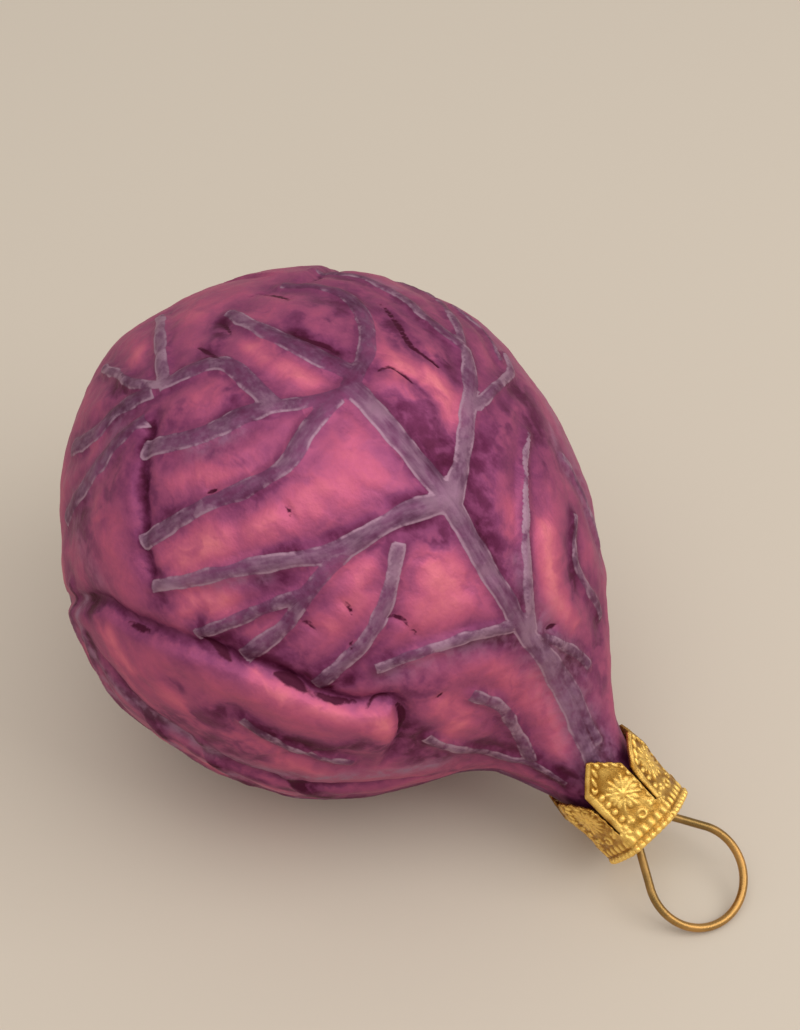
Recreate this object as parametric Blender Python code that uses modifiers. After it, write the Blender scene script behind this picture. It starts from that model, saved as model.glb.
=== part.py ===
"""Blown-glass Christmas ornament shaped like a head of red cabbage, lying on its side.

Three pieces: the hollow glass head with its neck, the stamped metal crown cap over the
neck, and the wire hanger whose two legs spring apart inside. Each piece is modelled in the
ornament's own frame, in millimetres: Z runs along the neck toward the cap from the middle
of the head, and X is the side turned to the viewer. It is then laid down and set on z = 0.
"""
import math

import bmesh
import bpy
import numpy as np
from mathutils import Matrix, Vector

MM = 0.001

# Head: the outer half outline as (place along the axis, radius), from the crown to the neck
OUTLINE = (
    (-29.3, 0.0), (-28.1, 5.3), (-24.6, 12.8), (-19.6, 19.0), (-12.8, 24.8),
    (-2.5, 28.4), (6.0, 28.0), (13.2, 26.1), (20.5, 22.3), (26.8, 16.5),
    (31.0, 11.6), (36.2, 7.5), (40.8, 5.1), (44.0, 4.2), (49.0, 4.0), (55.0, 4.0),
)
# The neck was drawn out a little crooked: sideways bow by place along the axis
NECK_BOW = (
    (-31.0, 0.0), (12.0, 0.0), (20.5, 0.4), (24.2, 0.9), (26.8, 1.5), (29.5, 2.2),
    (31.5, 2.35), (33.5, 2.1), (36.2, 1.2), (38.8, 0.5), (40.8, 0.0),
)
WALL = 1.2
NECK_END = 8.4          # how far the neck runs inside the cap
TILT = 25.45            # the axis dips this much toward the cap, in degrees
VIEWER_SIDE = 34.3      # the X side is this far round from straight up
FLAT_CUT = 0.45         # depth of the small resting flat
FLAT_CLEAR = (5.5, 11.0)  # the relief fades in between these distances from the flat
HEAD_TRIANGLES = 8000

# Cap
CAP_PLACE = 40.8        # the tips of the tabs, along the head's axis
CAP_LEAN = 4.8          # lean of the neck's end and the cap, in degrees
CAP_HEIGHT = 9.34
CAP_APOTHEM = 4.85
CAP_SHEET = 0.38
BAND = 2.5              # depth of the closed band below the end plate
TAB_POINT = 2.7         # how far the point of a tab runs past its shoulders
TAB_DROPS = (-1.6, 0.0, -0.6, -0.9, -0.6, -0.5)  # pressed on by hand: each tab reaches past the tips' line
TAB_FLARE = 1.0
TAB_GAP = 0.2
SIDES = 6

# Hanger
WIRE_RADIUS = 0.47
LEG_APART = 2.15        # each leg from the cap's axis
HOLE_RADIUS = 0.95
RING_RADIUS = 5.55
RING_PLACE = 16.45      # the ring's middle, above the tips of the tabs
RING_TURN = -110.0      # the ring's plane round the cap's axis, in degrees
RING_SWEEP = 120.7      # the ring is round this far to each side of its tip, in degrees
RING_STEPS = 44

# Leaf edges as (along the axis, degrees round it), then the height of the step on the
# edge's left, the groove beside it and the distance over which the step dies away
LEAF_EDGES = (
    (((-18.4, 2), (-16.9, 9), (-14.0, 18), (-11.3, 23), (-8.4, 29), (-4.6, 32)), -0.5, 0.35, 7.0),
    (((-14.5, 92), (-13.0, 68), (-9.8, 49), (-6.1, 43), (-1.3, 36), (3.4, 31), (9.7, 27), (15.5, 25),
      (17.8, 21.5), (19.2, 19), (20.9, 23), (21.9, 29), (22.6, 38), (22.6, 50)), -0.7, 0.6, 9.0),
    (((-9.0, 61), (-2.7, 62), (5.2, 64), (14.6, 64), (21.3, 62), (27.6, 58)), -0.45, 0.35, 8.0),
    (((-19.5, -46), (-16.6, -60), (-16.3, -80), (-14.0, -105), (-7.0, -128), (6.0, -142),
      (22.0, -150), (33.0, -152)), 0.75, 0.4, 10.0),
    (((-27.0, 165), (-24.0, 128), (-14.0, 112), (2.0, 106), (18.0, 108), (33.0, 112)), 0.6, 0.4, 9.0),
    (((-27.0, -118), (-24.5, -150), (-14.0, -168), (2.0, -176), (16.0, -172), (30.0, -168)), 0.6, 0.4, 9.0),
)
# Rolled rim of the outer leaf at the front: route, width and height
LEAF_RIM = (((-4.0, 44), (0.6, 37), (8.0, 33), (14.6, 30.5), (18.1, 26.5), (20.2, 26)), 3.6, 0.45)
# Veins of the leaves in view: route, width at the root and at the tip
VEINS = (
    (((40.0, -3), (37.4, -8), (32.0, -10), (26.0, -16), (18.5, -20), (10.3, -24), (2.7, -26),
      (-4.5, -28)), 1.9, 2.3),
    (((-4.5, -28), (-6.0, -39), (-9.4, -49), (-12.9, -54), (-17.7, -54)), 1.8, 1.5),
    (((-5.5, -31), (-10.9, -30), (-16.0, -31), (-19.5, -35)), 2.0, 1.5),
    (((-4.5, -26), (-6.3, -20), (-8.7, -15)), 1.4, 1.4),
    (((-8.7, -15), (-10.4, -9), (-12.5, 1), (-15.9, 12)), 1.8, 2.1),
    (((-8.7, -15), (-12.1, -16), (-16.0, -17), (-17.9, -11), (-19.3, -3)), 2.0, 1.7),
    (((-19.3, -3), (-22.2, -12), (-24.3, -21), (-26.3, -38)), 1.5, 1.3),
    (((-19.3, -3), (-22.3, 4), (-24.8, 7), (-27.0, 15)), 1.2, 1.0),
    (((-19.8, 1), (-21.3, 12), (-21.9, 26), (-23.4, 46)), 1.8, 2.2),
    (((-18.0, 8), (-18.7, 19), (-18.9, 34), (-19.0, 56)), 1.8, 2.2),
    (((-4.7, -24), (-4.6, -15), (-3.9, -7), (-5.1, 1), (-7.6, 12), (-9.7, 26)), 1.9, 1.6),
    (((9.7, -23), (7.5, -14), (5.4, -1), (3.1, 5), (-0.5, 14), (-6.1, 31)), 2.2, 1.2),
    (((5.8, -2), (5.8, 7), (6.2, 18), (5.2, 28)), 1.6, 1.6),
    (((5.7, 10), (3.2, 19), (0.4, 31)), 1.4, 1.2),
    (((9.3, -10), (11.9, 0), (13.0, 11), (12.3, 24)), 1.6, 1.6),
    (((10.4, -25), (8.4, -33), (6.3, -41), (3.8, -50), (1.0, -58)), 2.1, 1.8),
    (((0.8, -57), (-3.8, -58), (-8.6, -64), (-16.6, -71)), 1.5, 1.4),
    (((0.3, -59), (-2.9, -68), (-7.0, -80), (-12.0, -92)), 1.3, 1.0),
    (((6.0, -46), (6.0, -58), (5.9, -68), (4.2, -74)), 1.1, 0.9),
    (((-3.6, -78), (0.9, -74), (4.3, -68)), 0.8, 0.8),
    (((11.5, -55), (13.8, -46), (18.4, -34), (25.0, -19)), 0.8, 1.6),
    (((23.0, -15), (20.6, -6), (18.5, 2), (15.7, 13)), 1.3, 1.1),
    (((26.0, -18), (28.8, -17), (32.8, -17), (38.8, -23)), 1.5, 1.2),
    (((26.3, -20), (29.3, -26), (32.4, -35)), 1.2, 0.9),
    (((24.3, 29), (27.8, 36), (32.4, 46), (34.8, 41), (39.3, 37)), 1.1, 0.9),
    (((24.7, 9), (28.0, 11), (31.9, 26), (34.6, 38)), 1.4, 1.2),
    (((9.0, 42), (15.2, 44), (20.1, 44)), 1.1, 1.0),
    (((21.0, -57), (22.3, -52), (24.2, -48.5), (27.1, -51), (30.1, -59)), 1.1, 1.0),
    (((16.0, -66), (18.8, -69), (21.4, -71), (25.3, -77)), 0.9, 0.9),
)
# Leaves out of view follow one rule: the degrees round the axis of each midrib
HIDDEN_MIDRIBS = (86.0, 136.0, -172.0, -112.0)
LATERAL_ROOTS = (27.0, 19.0, 11.0, 3.0, -5.0)
VEIN_HEIGHT = 0.4
PILLOW_HEIGHT = 0.35
PILLOW_REACH = 2.4
RELIEF_SINK = 0.45      # the plain outline is drawn this far outside the pillows' feet


def smooth_points(points, steps):
    """Points on a smooth curve through the given ones (Catmull-Rom)."""
    ends = np.array(points, float)
    run = np.vstack([2 * ends[0] - ends[1], ends, 2 * ends[-1] - ends[-2]])
    part = np.linspace(0, 1, steps, endpoint=False)[:, None]
    curve = []
    for before, start, end, after in zip(run, run[1:], run[2:], run[3:]):
        curve.append(
            start
            + 0.5 * (end - before) * part
            + (before - 2.5 * start + 2 * end - 0.5 * after) * part**2
            + 0.5 * (3 * start - before - 3 * end + after) * part**3
        )
    return np.vstack(curve + [ends[-1:]])


HALF_OUTLINE = smooth_points(OUTLINE, 24)
HALF_OUTLINE[:, 1] = np.maximum(HALF_OUTLINE[:, 1], 0)
BOW = smooth_points(NECK_BOW, 12)
LEAN_SLOPE = math.tan(math.radians(CAP_LEAN))


def bow_at(along):
    """Sideways place of the head's middle line, toward -Y."""
    return np.interp(along, BOW[:, 0], BOW[:, 1]) - LEAN_SLOPE * np.maximum(along - CAP_PLACE, 0)


def surface_points(along, angle):
    """Points of the plain head, before its relief."""
    radius = np.interp(along, HALF_OUTLINE[:, 0], HALF_OUTLINE[:, 1])
    return np.stack([radius * np.cos(angle), radius * np.sin(angle) - bow_at(along), along], -1)


def distance_to_route(points, route):
    """Distance to a route over the head, the side it is on (+ left) and how far along it, 0 to 1."""
    curve = smooth_points(route, 10)
    line = surface_points(curve[:, 0], np.radians(curve[:, 1]))
    start, run = line[:-1], np.diff(line, axis=0)
    length = np.linalg.norm(run, axis=1)
    passed = np.concatenate([[0], np.cumsum(length)])
    nearest = np.full(len(points), 1e6)
    side = np.zeros(len(points))
    place = np.zeros(len(points))
    for begin, step, size, before in zip(start, run, length, passed):
        offset = points - begin
        part = np.clip(offset @ step / size**2, 0, 1)
        gap = offset - part[:, None] * step
        distance = np.linalg.norm(gap, axis=1)
        middle = begin + 0.5 * step
        outward = np.array([middle[0], middle[1] + bow_at(middle[2]), 0])
        left = np.cross(outward, step)
        closer = distance < nearest
        nearest[closer] = distance[closer]
        side[closer] = np.sign(gap[closer] @ left)
        place[closer] = (before + part[closer] * size) / passed[-1]
    return nearest, side, place


def ease(value, low, high):
    part = np.clip((value - low) / (high - low), 0, 1)
    return part * part * (3 - 2 * part)


def hidden_veins():
    """Midrib and paired side veins of each leaf out of view, with a small seeded wander."""
    wander = np.random.default_rng(7)
    for middle in HIDDEN_MIDRIBS:
        yield ((40.0, middle), (30.0, middle + 2), (15.0, middle - 2), (0.0, middle + 1), (-19.0, middle + 4)), 2.1, 1.3
        for root in LATERAL_ROOTS:
            for hand in (-1, 1):
                start = root + wander.uniform(-2, 2)
                spread = hand * wander.uniform(0.9, 1.15)
                yield (
                    ((start, middle), (start - 4, middle + 8 * spread), (start - 8, middle + 16 * spread),
                     (start - 11, middle + 22 * spread)),
                    1.7, 1.1,
                )


def relief(points):
    """Height of leaves, rims, veins and pillowed panels over the plain head."""
    height = np.zeros(len(points))
    nearest = np.full(len(points), 1e6)
    for route, step, groove, reach in LEAF_EDGES:
        distance, side, place = distance_to_route(points, route)
        fade = ease(place, 0, 0.16) * ease(1 - place, 0, 0.16)
        signed = distance * side * np.sign(step)
        rise = ease(signed, -0.3, 1.3) * np.exp(-((np.maximum(signed, 0) / reach) ** 2))
        trench = np.exp(-(((signed + 0.3) / 0.8) ** 2))
        height += fade * (abs(step) * rise - groove * trench)
        nearest = np.minimum(nearest, distance / np.maximum(fade, 0.05))
    route, width, rim = LEAF_RIM
    distance, side, place = distance_to_route(points, route)
    height += rim * np.exp(-((distance / (0.5 * width)) ** 2)) * ease(place, 0, 0.2)
    raised = np.zeros(len(points))
    for route, root, tip in (*VEINS, *hidden_veins()):
        distance, side, place = distance_to_route(points, route)
        half = 0.5 * (root + (tip - root) * place)
        raised = np.maximum(raised, 1 - ease(distance, 0.55 * half, half + 0.45))
        nearest = np.minimum(nearest, np.maximum(distance - half, 0))
    pillow = 1 - np.exp(-((nearest / PILLOW_REACH) ** 2))
    return height + VEIN_HEIGHT * raised + PILLOW_HEIGHT * pillow * (1 - raised) - RELIEF_SINK


def laid_down():
    """From the ornament's own frame to the row frame, before it is centred."""
    turn = Matrix.Rotation(math.radians(90 + TILT), 4, "Y")
    return turn @ Matrix.Rotation(math.radians(180 + VIEWER_SIDE), 4, "Z")


def lowest_point():
    """The plain head's lowest point in its own frame, and its height below the middle."""
    along, angle = np.meshgrid(np.linspace(-30, 45, 751), np.radians(np.arange(0, 360, 0.5)))
    points = surface_points(along.ravel(), angle.ravel())
    turned = points @ np.array(laid_down().to_3x3()).T
    lowest = turned[:, 2].argmin()
    return points[lowest], turned[lowest, 2]


FLAT_MIDDLE, LOWEST = lowest_point()
STAND = Matrix.Translation((0, 0, -LOWEST - FLAT_CUT)) @ laid_down()
CAP_FRAME = Matrix.Translation((0, 0, CAP_PLACE)) @ Matrix.Rotation(-math.radians(CAP_LEAN), 4, "X")


def clear_scene():
    for obj in list(bpy.data.objects):
        bpy.data.objects.remove(obj)


def collection_named(name, hidden=False):
    group = bpy.data.collections.new(name)
    group.hide_render = hidden
    bpy.context.scene.collection.children.link(group)
    return group


def material_named(name, colour, metallic, roughness):
    material = bpy.data.materials.new(name)
    material.use_nodes = True
    shader = material.node_tree.nodes["Principled BSDF"]
    shader.inputs["Base Color"].default_value = (*colour, 1)
    shader.inputs["Metallic"].default_value = metallic
    shader.inputs["Roughness"].default_value = roughness
    return material


def object_from(mesh, name, group, material=None):
    obj = bpy.data.objects.new(name, mesh)
    group.objects.link(obj)
    if material:
        mesh.materials.append(material)
    if group.hide_render:
        obj.hide_render = True
        obj.display_type = "WIRE"
    return obj


def mesh_from(shape, name, place):
    """Write a bmesh, placed in the row frame and turned to metres, and free it."""
    shape.transform(Matrix.Scale(MM, 4) @ place)
    mesh = bpy.data.meshes.new(name)
    shape.to_mesh(mesh)
    shape.free()
    return mesh


def cut_flat(shape, point, normal):
    """Cut off what lies past a plane and close the cut."""
    every = shape.verts[:] + shape.edges[:] + shape.faces[:]
    bmesh.ops.bisect_plane(shape, geom=every, dist=1e-4, plane_co=point, plane_no=normal, clear_outer=True)
    rim = [edge for edge in shape.edges if edge.is_boundary]
    bmesh.ops.holes_fill(shape, edges=rim, sides=0)


def head_shape():
    """A ball drawn out to the outline and raised by the relief, thinned to its budget."""
    shape = bmesh.new()
    bmesh.ops.create_uvsphere(shape, u_segments=250, v_segments=200, radius=1)
    ball = np.array([vert.co[:] for vert in shape.verts])
    passed = np.concatenate([[0], np.cumsum(np.linalg.norm(np.diff(HALF_OUTLINE, axis=0), axis=1))])
    from_crown = np.arccos(np.clip(-ball[:, 2], -1, 1)) / np.pi * passed[-1]
    along = np.interp(from_crown, passed, HALF_OUTLINE[:, 0])
    radius = np.interp(from_crown, passed, HALF_OUTLINE[:, 1])
    radius = np.where(from_crown > passed[-1] - 1e-6, 0, radius)
    angle = np.arctan2(ball[:, 1], ball[:, 0])
    slope = np.gradient(HALF_OUTLINE[:, 1], passed)
    lean = np.interp(from_crown, passed, slope)
    plain = np.stack([radius * np.cos(angle), radius * np.sin(angle) - bow_at(along), along], -1)
    upright = np.sqrt(np.clip(1 - lean**2, 0, 1))
    outward = np.stack([np.cos(angle) * upright, np.sin(angle) * upright, -lean], -1)
    clear = ease(np.linalg.norm(plain - FLAT_MIDDLE, axis=1), *FLAT_CLEAR)
    height = relief(plain) * clear * ease(along, 41.5, 38.5) * ease(radius, 0, 6)
    moved = plain + outward * height[:, None]
    for vert, place in zip(shape.verts, moved):
        vert.co = place
    return shape


def thinned(shape, triangles):
    """The same shape with fewer triangles, kept where the relief needs them."""
    bmesh.ops.triangulate(shape, faces=shape.faces[:])
    mesh = bpy.data.meshes.new("head_dense")
    count = len(shape.faces)
    shape.to_mesh(mesh)
    shape.free()
    dense = bpy.data.objects.new("head_dense", mesh)
    bpy.context.scene.collection.objects.link(dense)
    fewer = dense.modifiers.new("Thin out", "DECIMATE")
    fewer.ratio = triangles / count
    result = bpy.data.meshes.new_from_object(dense.evaluated_get(bpy.context.evaluated_depsgraph_get()))
    bpy.data.objects.remove(dense)
    shape = bmesh.new()
    shape.from_mesh(result)
    return shape


def cavity(group):
    """The hollow of the head: a turned outline one wall inside the glass, run out of the neck."""
    passed = np.concatenate([[0], np.cumsum(np.linalg.norm(np.diff(HALF_OUTLINE, axis=0), axis=1))])
    stops = np.concatenate([np.linspace(0, 50, 15), np.linspace(54, passed[-1], 9)])
    along = np.interp(stops, passed, HALF_OUTLINE[:, 0])
    radius = np.interp(stops, passed, HALF_OUTLINE[:, 1])
    turn = np.gradient(HALF_OUTLINE, passed, axis=0)
    across = np.interp(stops, passed, turn[:, 1])
    forward = np.interp(stops, passed, turn[:, 0])
    inner = np.stack([along + WALL * across, radius - WALL * forward], -1)
    inner[0] = (OUTLINE[0][0] + WALL, 0)
    profile = [(r, 0, z) for z, r in inner] + [(0, 0, inner[-1][0])]
    mesh = bpy.data.meshes.new("hollow_outline")
    mesh.from_pydata([Vector(p) for p in reversed(profile)], [(i, i + 1) for i in range(len(profile) - 1)], [])
    outline = bpy.data.objects.new("hollow_outline", mesh)
    bpy.context.scene.collection.objects.link(outline)
    screw = outline.modifiers.new("Turn", "SCREW")
    screw.steps = 28
    screw.render_steps = 28
    screw.use_merge_vertices = True
    screw.merge_threshold = 0.0001
    turned = bpy.data.meshes.new_from_object(outline.evaluated_get(bpy.context.evaluated_depsgraph_get()))
    bpy.data.objects.remove(outline)
    shape = bmesh.new()
    shape.from_mesh(turned)
    bmesh.ops.remove_doubles(shape, verts=shape.verts, dist=0.0001)
    for vert in shape.verts:
        vert.co.y -= float(bow_at(vert.co.z))
    bmesh.ops.recalc_face_normals(shape, faces=shape.faces)
    return object_from(mesh_from(shape, "hollow", STAND), "hollow", group)


def add_cut(obj, cutter):
    cut = obj.modifiers.new("Cut " + cutter.name, "BOOLEAN")
    cut.operation = "DIFFERENCE"
    cut.solver = "EXACT"
    cut.object = cutter


def glass_body(group, cutters):
    shape = thinned(head_shape(), HEAD_TRIANGLES)
    neck_axis = CAP_FRAME.to_3x3() @ Vector((0, 0, 1))
    cut_flat(shape, CAP_FRAME @ Vector((0, 0, NECK_END)), neck_axis)
    to_stand = STAND.inverted()
    cut_flat(shape, to_stand @ Vector((0, 0, 0)), to_stand.to_3x3() @ Vector((0, 0, -1)))
    lacquer = material_named("purple_lacquered_glass", (0.33, 0.06, 0.16), 0.5, 0.4)
    obj = object_from(mesh_from(shape, "glass_body", STAND), "glass_body", group, lacquer)
    add_cut(obj, cavity(cutters))
    return obj


def tab_relief(across, along):
    """Stamped pattern of one side: edge ridge, a rosette in the middle and a rim line."""
    edge = np.exp(-(((1 - abs(across)) * 2.7 - 0.55) / 0.35) ** 2)
    petals = math.cos(6 * math.atan2(along - 4.4, across * 2.7 + 1e-9))
    from_middle = math.hypot(along - 4.4, across * 2.7)
    rosette = math.exp(-((from_middle / 1.5) ** 2)) * (0.75 + 0.25 * petals)
    rim = math.exp(-(((along - 8.3) / 0.4) ** 2))
    return 0.1 * edge + 0.24 * rosette + 0.12 * rim


def cap_shape():
    """Six flared, pointed tabs hanging from a closed band and an end plate."""
    columns, band_rows, tab_rows = 8, 4, 8
    shape = bmesh.new()
    corners = {}

    def vertex(key, place):
        if key not in corners:
            corners[key] = shape.verts.new(place)
        return corners[key]

    for side in range(SIDES):
        turn = Matrix.Rotation(math.radians(side * 360 / SIDES), 4, "Z")
        grid = []
        for row in range(band_rows + tab_rows + 1):
            line = []
            for column in range(columns + 1):
                across = 2 * column / columns - 1
                top = CAP_HEIGHT - 0.3
                if row <= band_rows:
                    along = top - BAND * row / band_rows
                else:
                    tip = TAB_POINT * abs(across) ** 1.15 + TAB_DROPS[side]
                    along = top - BAND + (tip - top + BAND) * (row - band_rows) / tab_rows
                apothem = CAP_APOTHEM + 0.025 * (top - along) + TAB_FLARE * max(0, (5.5 - along) / 5.5) ** 2
                half = apothem * math.tan(math.pi / SIDES)
                if row > band_rows:
                    half = min(half - TAB_GAP, 2.72)
                bulge = 0.22 * (1 - across**2)
                out = apothem + bulge + tab_relief(across, along) * (1 - across**8)
                place = turn @ Vector((out, across * half, along))
                shared = row <= band_rows and abs(across) == 1
                corner = (side + (across > 0)) % SIDES
                key = ("corner", corner, row) if shared else (side, row, column)
                line.append(vertex(key, place))
            grid.append(line)
        for upper, lower in zip(grid, grid[1:]):
            for column in range(columns):
                shape.faces.new((upper[column], lower[column], lower[column + 1], upper[column + 1]))
        shoulder = [vert.co.copy() for vert in grid[0]]
        rings = [grid[0]]
        for scale, along in ((0.93, CAP_HEIGHT), (0.45, CAP_HEIGHT)):
            ring = []
            for column, place in enumerate(shoulder):
                end = column in (0, columns)
                corner = (side + (column == columns)) % SIDES
                key = ("plate", corner, scale) if end else ("plate", side, column, scale)
                ring.append(vertex(key, (place.x * scale, place.y * scale, along)))
            rings.append(ring)
        for outer, inner in zip(rings, rings[1:]):
            for column in range(columns):
                shape.faces.new((outer[column], outer[column + 1], inner[column + 1], inner[column]))
        middle = vertex("middle", (0, 0, CAP_HEIGHT))
        for column in range(columns):
            shape.faces.new((rings[-1][column], rings[-1][column + 1], middle))
    bmesh.ops.recalc_face_normals(shape, faces=shape.faces)
    return shape


def leg_hole(name, hand, group):
    shape = bmesh.new()
    angle = math.radians(RING_TURN)
    place = Matrix.Translation((hand * LEG_APART * math.cos(angle), hand * LEG_APART * math.sin(angle), CAP_HEIGHT))
    bmesh.ops.create_cone(
        shape, cap_ends=True, segments=20, radius1=HOLE_RADIUS, radius2=HOLE_RADIUS, depth=2.4, matrix=place
    )
    return object_from(mesh_from(shape, name, STAND @ CAP_FRAME), name, group)


def metal_cap(group, cutters):
    gold = material_named("gold_stamped_cap", (0.75, 0.5, 0.16), 1.0, 0.32)
    obj = object_from(mesh_from(cap_shape(), "metal_cap", STAND @ CAP_FRAME), "metal_cap", group, gold)
    sheet = obj.modifiers.new("Sheet", "SOLIDIFY")
    sheet.thickness = CAP_SHEET * MM
    sheet.offset = -1
    add_cut(obj, leg_hole("leg_hole_a", -1, cutters))
    add_cut(obj, leg_hole("leg_hole_b", 1, cutters))
    return obj


def wire_route():
    """Middle line of the wire in the cap's frame: leg, ring and leg, as (sideways, along)."""
    leg = [
        (4.0, -4.6), (3.7, -3.4), (3.0, -1.0), (2.4, 1.2), (1.95, 3.4), (1.7, 5.6), (1.65, 7.3),
        (1.82, 8.5), (LEG_APART, 9.2), (2.81, 10.32), (3.53, 11.52), (4.19, 12.64),
    ]
    ring = []
    for step in range(RING_STEPS + 1):
        turn = math.radians(RING_SWEEP * (2 * step / RING_STEPS - 1))
        ring.append((RING_RADIUS * math.sin(turn), RING_PLACE + RING_RADIUS * math.cos(turn)))
    leg = [tuple(point) for point in smooth_points(leg, 2)]
    first = [(-side, along) for side, along in leg]
    return first + ring + list(reversed(leg))


def hanger_wire(group):
    curve = bpy.data.curves.new("hanger_wire", "CURVE")
    curve.dimensions = "3D"
    curve.bevel_depth = WIRE_RADIUS
    curve.bevel_resolution = 2
    curve.use_fill_caps = True
    route = wire_route()
    spline = curve.splines.new("POLY")
    spline.points.add(len(route) - 1)
    angle = math.radians(RING_TURN)
    for point, (sideways, along) in zip(spline.points, route):
        point.co = (sideways * math.cos(angle), sideways * math.sin(angle), along, 1)
    guide = bpy.data.objects.new("hanger_guide", curve)
    bpy.context.scene.collection.objects.link(guide)
    made = bpy.data.meshes.new_from_object(guide.evaluated_get(bpy.context.evaluated_depsgraph_get()))
    bpy.data.objects.remove(guide)
    shape = bmesh.new()
    shape.from_mesh(made)
    bmesh.ops.remove_doubles(shape, verts=shape.verts, dist=0.0001)
    bmesh.ops.recalc_face_normals(shape, faces=shape.faces)
    brass = material_named("brass_wire", (0.55, 0.36, 0.13), 1.0, 0.35)
    return object_from(mesh_from(shape, "hanger_wire", STAND @ CAP_FRAME), "hanger_wire", group, brass)


def centre_over_origin(pieces, helpers):
    """Slide everything level so that the origin is under the middle of the ornament's box."""
    graph = bpy.context.evaluated_depsgraph_get()
    corners = []
    for obj in pieces:
        mesh = obj.evaluated_get(graph).to_mesh()
        places = np.empty(len(mesh.vertices) * 3, np.float32)
        mesh.vertices.foreach_get("co", places)
        corners.append(places.reshape(-1, 3))
        obj.evaluated_get(graph).to_mesh_clear()
    every = np.vstack(corners)
    middle = (every.min(axis=0) + every.max(axis=0)) / 2
    slide = Matrix.Translation((-middle[0], -middle[1], 0))
    for obj in (*pieces, *helpers):
        obj.data.transform(slide)
    print("slid by", [round(float(-side) / MM, 3) for side in middle[:2]], "mm, lowest", every.min(axis=0)[2] / MM)


def main():
    clear_scene()
    parts = collection_named("cabbage_ornament")
    cutters = collection_named("cutters", hidden=True)
    pieces = [glass_body(parts, cutters), metal_cap(parts, cutters), hanger_wire(parts)]
    bpy.context.view_layer.update()
    centre_over_origin(pieces, list(cutters.objects))


main()
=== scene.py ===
import math

import bmesh
import bpy
import numpy as np
from mathutils import Matrix, Vector, noise


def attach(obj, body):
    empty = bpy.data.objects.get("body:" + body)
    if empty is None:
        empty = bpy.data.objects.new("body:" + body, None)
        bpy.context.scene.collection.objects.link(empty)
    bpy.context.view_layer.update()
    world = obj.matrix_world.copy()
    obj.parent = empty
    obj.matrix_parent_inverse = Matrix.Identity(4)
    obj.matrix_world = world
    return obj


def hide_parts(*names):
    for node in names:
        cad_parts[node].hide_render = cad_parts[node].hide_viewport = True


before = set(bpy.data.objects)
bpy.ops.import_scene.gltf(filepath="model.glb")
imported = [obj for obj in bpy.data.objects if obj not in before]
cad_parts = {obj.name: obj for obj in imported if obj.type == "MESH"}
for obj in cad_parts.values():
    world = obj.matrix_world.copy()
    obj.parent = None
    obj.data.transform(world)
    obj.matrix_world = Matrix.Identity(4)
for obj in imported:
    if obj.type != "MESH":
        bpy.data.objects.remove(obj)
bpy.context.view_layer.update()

# Floor, light and camera
# A plain warm grey table in a bright room, lit by a large soft window on the right and a pale
# ceiling. The camera looks down on the side that the outer leaves and the neck's bow turn to.
MM = 0.001
HEAD_MIDDLE = Vector((-14.398, 0.179, 28.823)) * MM
CAMERA_TURN = math.radians(33.71)
CAMERA_RISE = math.radians(47.38)
PHOTO_HEIGHT = 1030
FOCAL_PIXELS = 1800
PIXEL = 0.11 * MM  # what one pixel spans at the distance of the head
HEAD_FROM_PHOTO_MIDDLE = (-88, 6)  # pixels right and down
AIM_HEIGHT = 20
FLOOR_REACH = 1500
camera_right = Vector((math.cos(CAMERA_TURN), math.sin(CAMERA_TURN), 0))
level_back = Vector((math.sin(CAMERA_TURN), -math.cos(CAMERA_TURN), 0))
camera_back = level_back * math.cos(CAMERA_RISE) + Vector((0, 0, math.sin(CAMERA_RISE)))
camera_up = camera_back.cross(camera_right)
camera_data = bpy.data.cameras.new("photo_view")
camera_data.lens = camera_data.sensor_width * FOCAL_PIXELS / PHOTO_HEIGHT
camera_data.clip_start = 5 * MM
camera = bpy.data.objects.new("photo_view", camera_data)
bpy.context.scene.collection.objects.link(camera)
camera_place = (
    HEAD_MIDDLE
    - camera_right * HEAD_FROM_PHOTO_MIDDLE[0] * PIXEL
    + camera_up * HEAD_FROM_PHOTO_MIDDLE[1] * PIXEL
    + camera_back * FOCAL_PIXELS * PIXEL
)
camera_turn = Matrix((camera_right, camera_up, camera_back)).transposed().to_4x4()
camera.matrix_world = Matrix.Translation(camera_place) @ camera_turn
bpy.context.scene.camera = camera
bpy.context.scene.view_settings.view_transform = "Standard"


def soft_light(name, place, size, watts, colour):
    """A square area light, its place and size in millimetres, turned to the ornament."""
    data = bpy.data.lights.new(name, "AREA")
    data.shape = "SQUARE"
    data.size = size * MM
    data.energy = watts
    data.color = colour
    lamp = bpy.data.objects.new(name, data)
    bpy.context.scene.collection.objects.link(lamp)
    lamp.location = Vector(place) * MM
    aim = lamp.location - Vector((0, 0, AIM_HEIGHT * MM))
    lamp.rotation_euler = aim.to_track_quat("Z", "Y").to_euler()


soft_light("window", place=(400, 130, 440), size=420, watts=1.3, colour=(1.0, 0.985, 0.965))
soft_light("ceiling", place=(60, -160, 600), size=520, watts=1.2, colour=(1.0, 0.985, 0.96))
world = bpy.data.worlds.new("room")
bpy.context.scene.world = world
world.use_nodes = True
background = world.node_tree.nodes["Background"]
background.inputs["Color"].default_value = (1.0, 0.975, 0.945, 1)
background.inputs["Strength"].default_value = 0.6

floor_shape = bmesh.new()
bmesh.ops.create_grid(floor_shape, x_segments=1, y_segments=1, size=FLOOR_REACH * MM)
floor_mesh = bpy.data.meshes.new("floor")
floor_shape.to_mesh(floor_mesh)
floor_shape.free()
table = bpy.data.objects.new("floor", floor_mesh)
bpy.context.scene.collection.objects.link(table)
table_paint = bpy.data.materials.new("pale_table")
table_paint.use_nodes = True
table_shader = table_paint.node_tree.nodes["Principled BSDF"]
table_shader.inputs["Base Color"].default_value = (0.615, 0.54, 0.448, 1)
table_shader.inputs["Roughness"].default_value = 0.75
floor_mesh.materials.append(table_paint)

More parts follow.
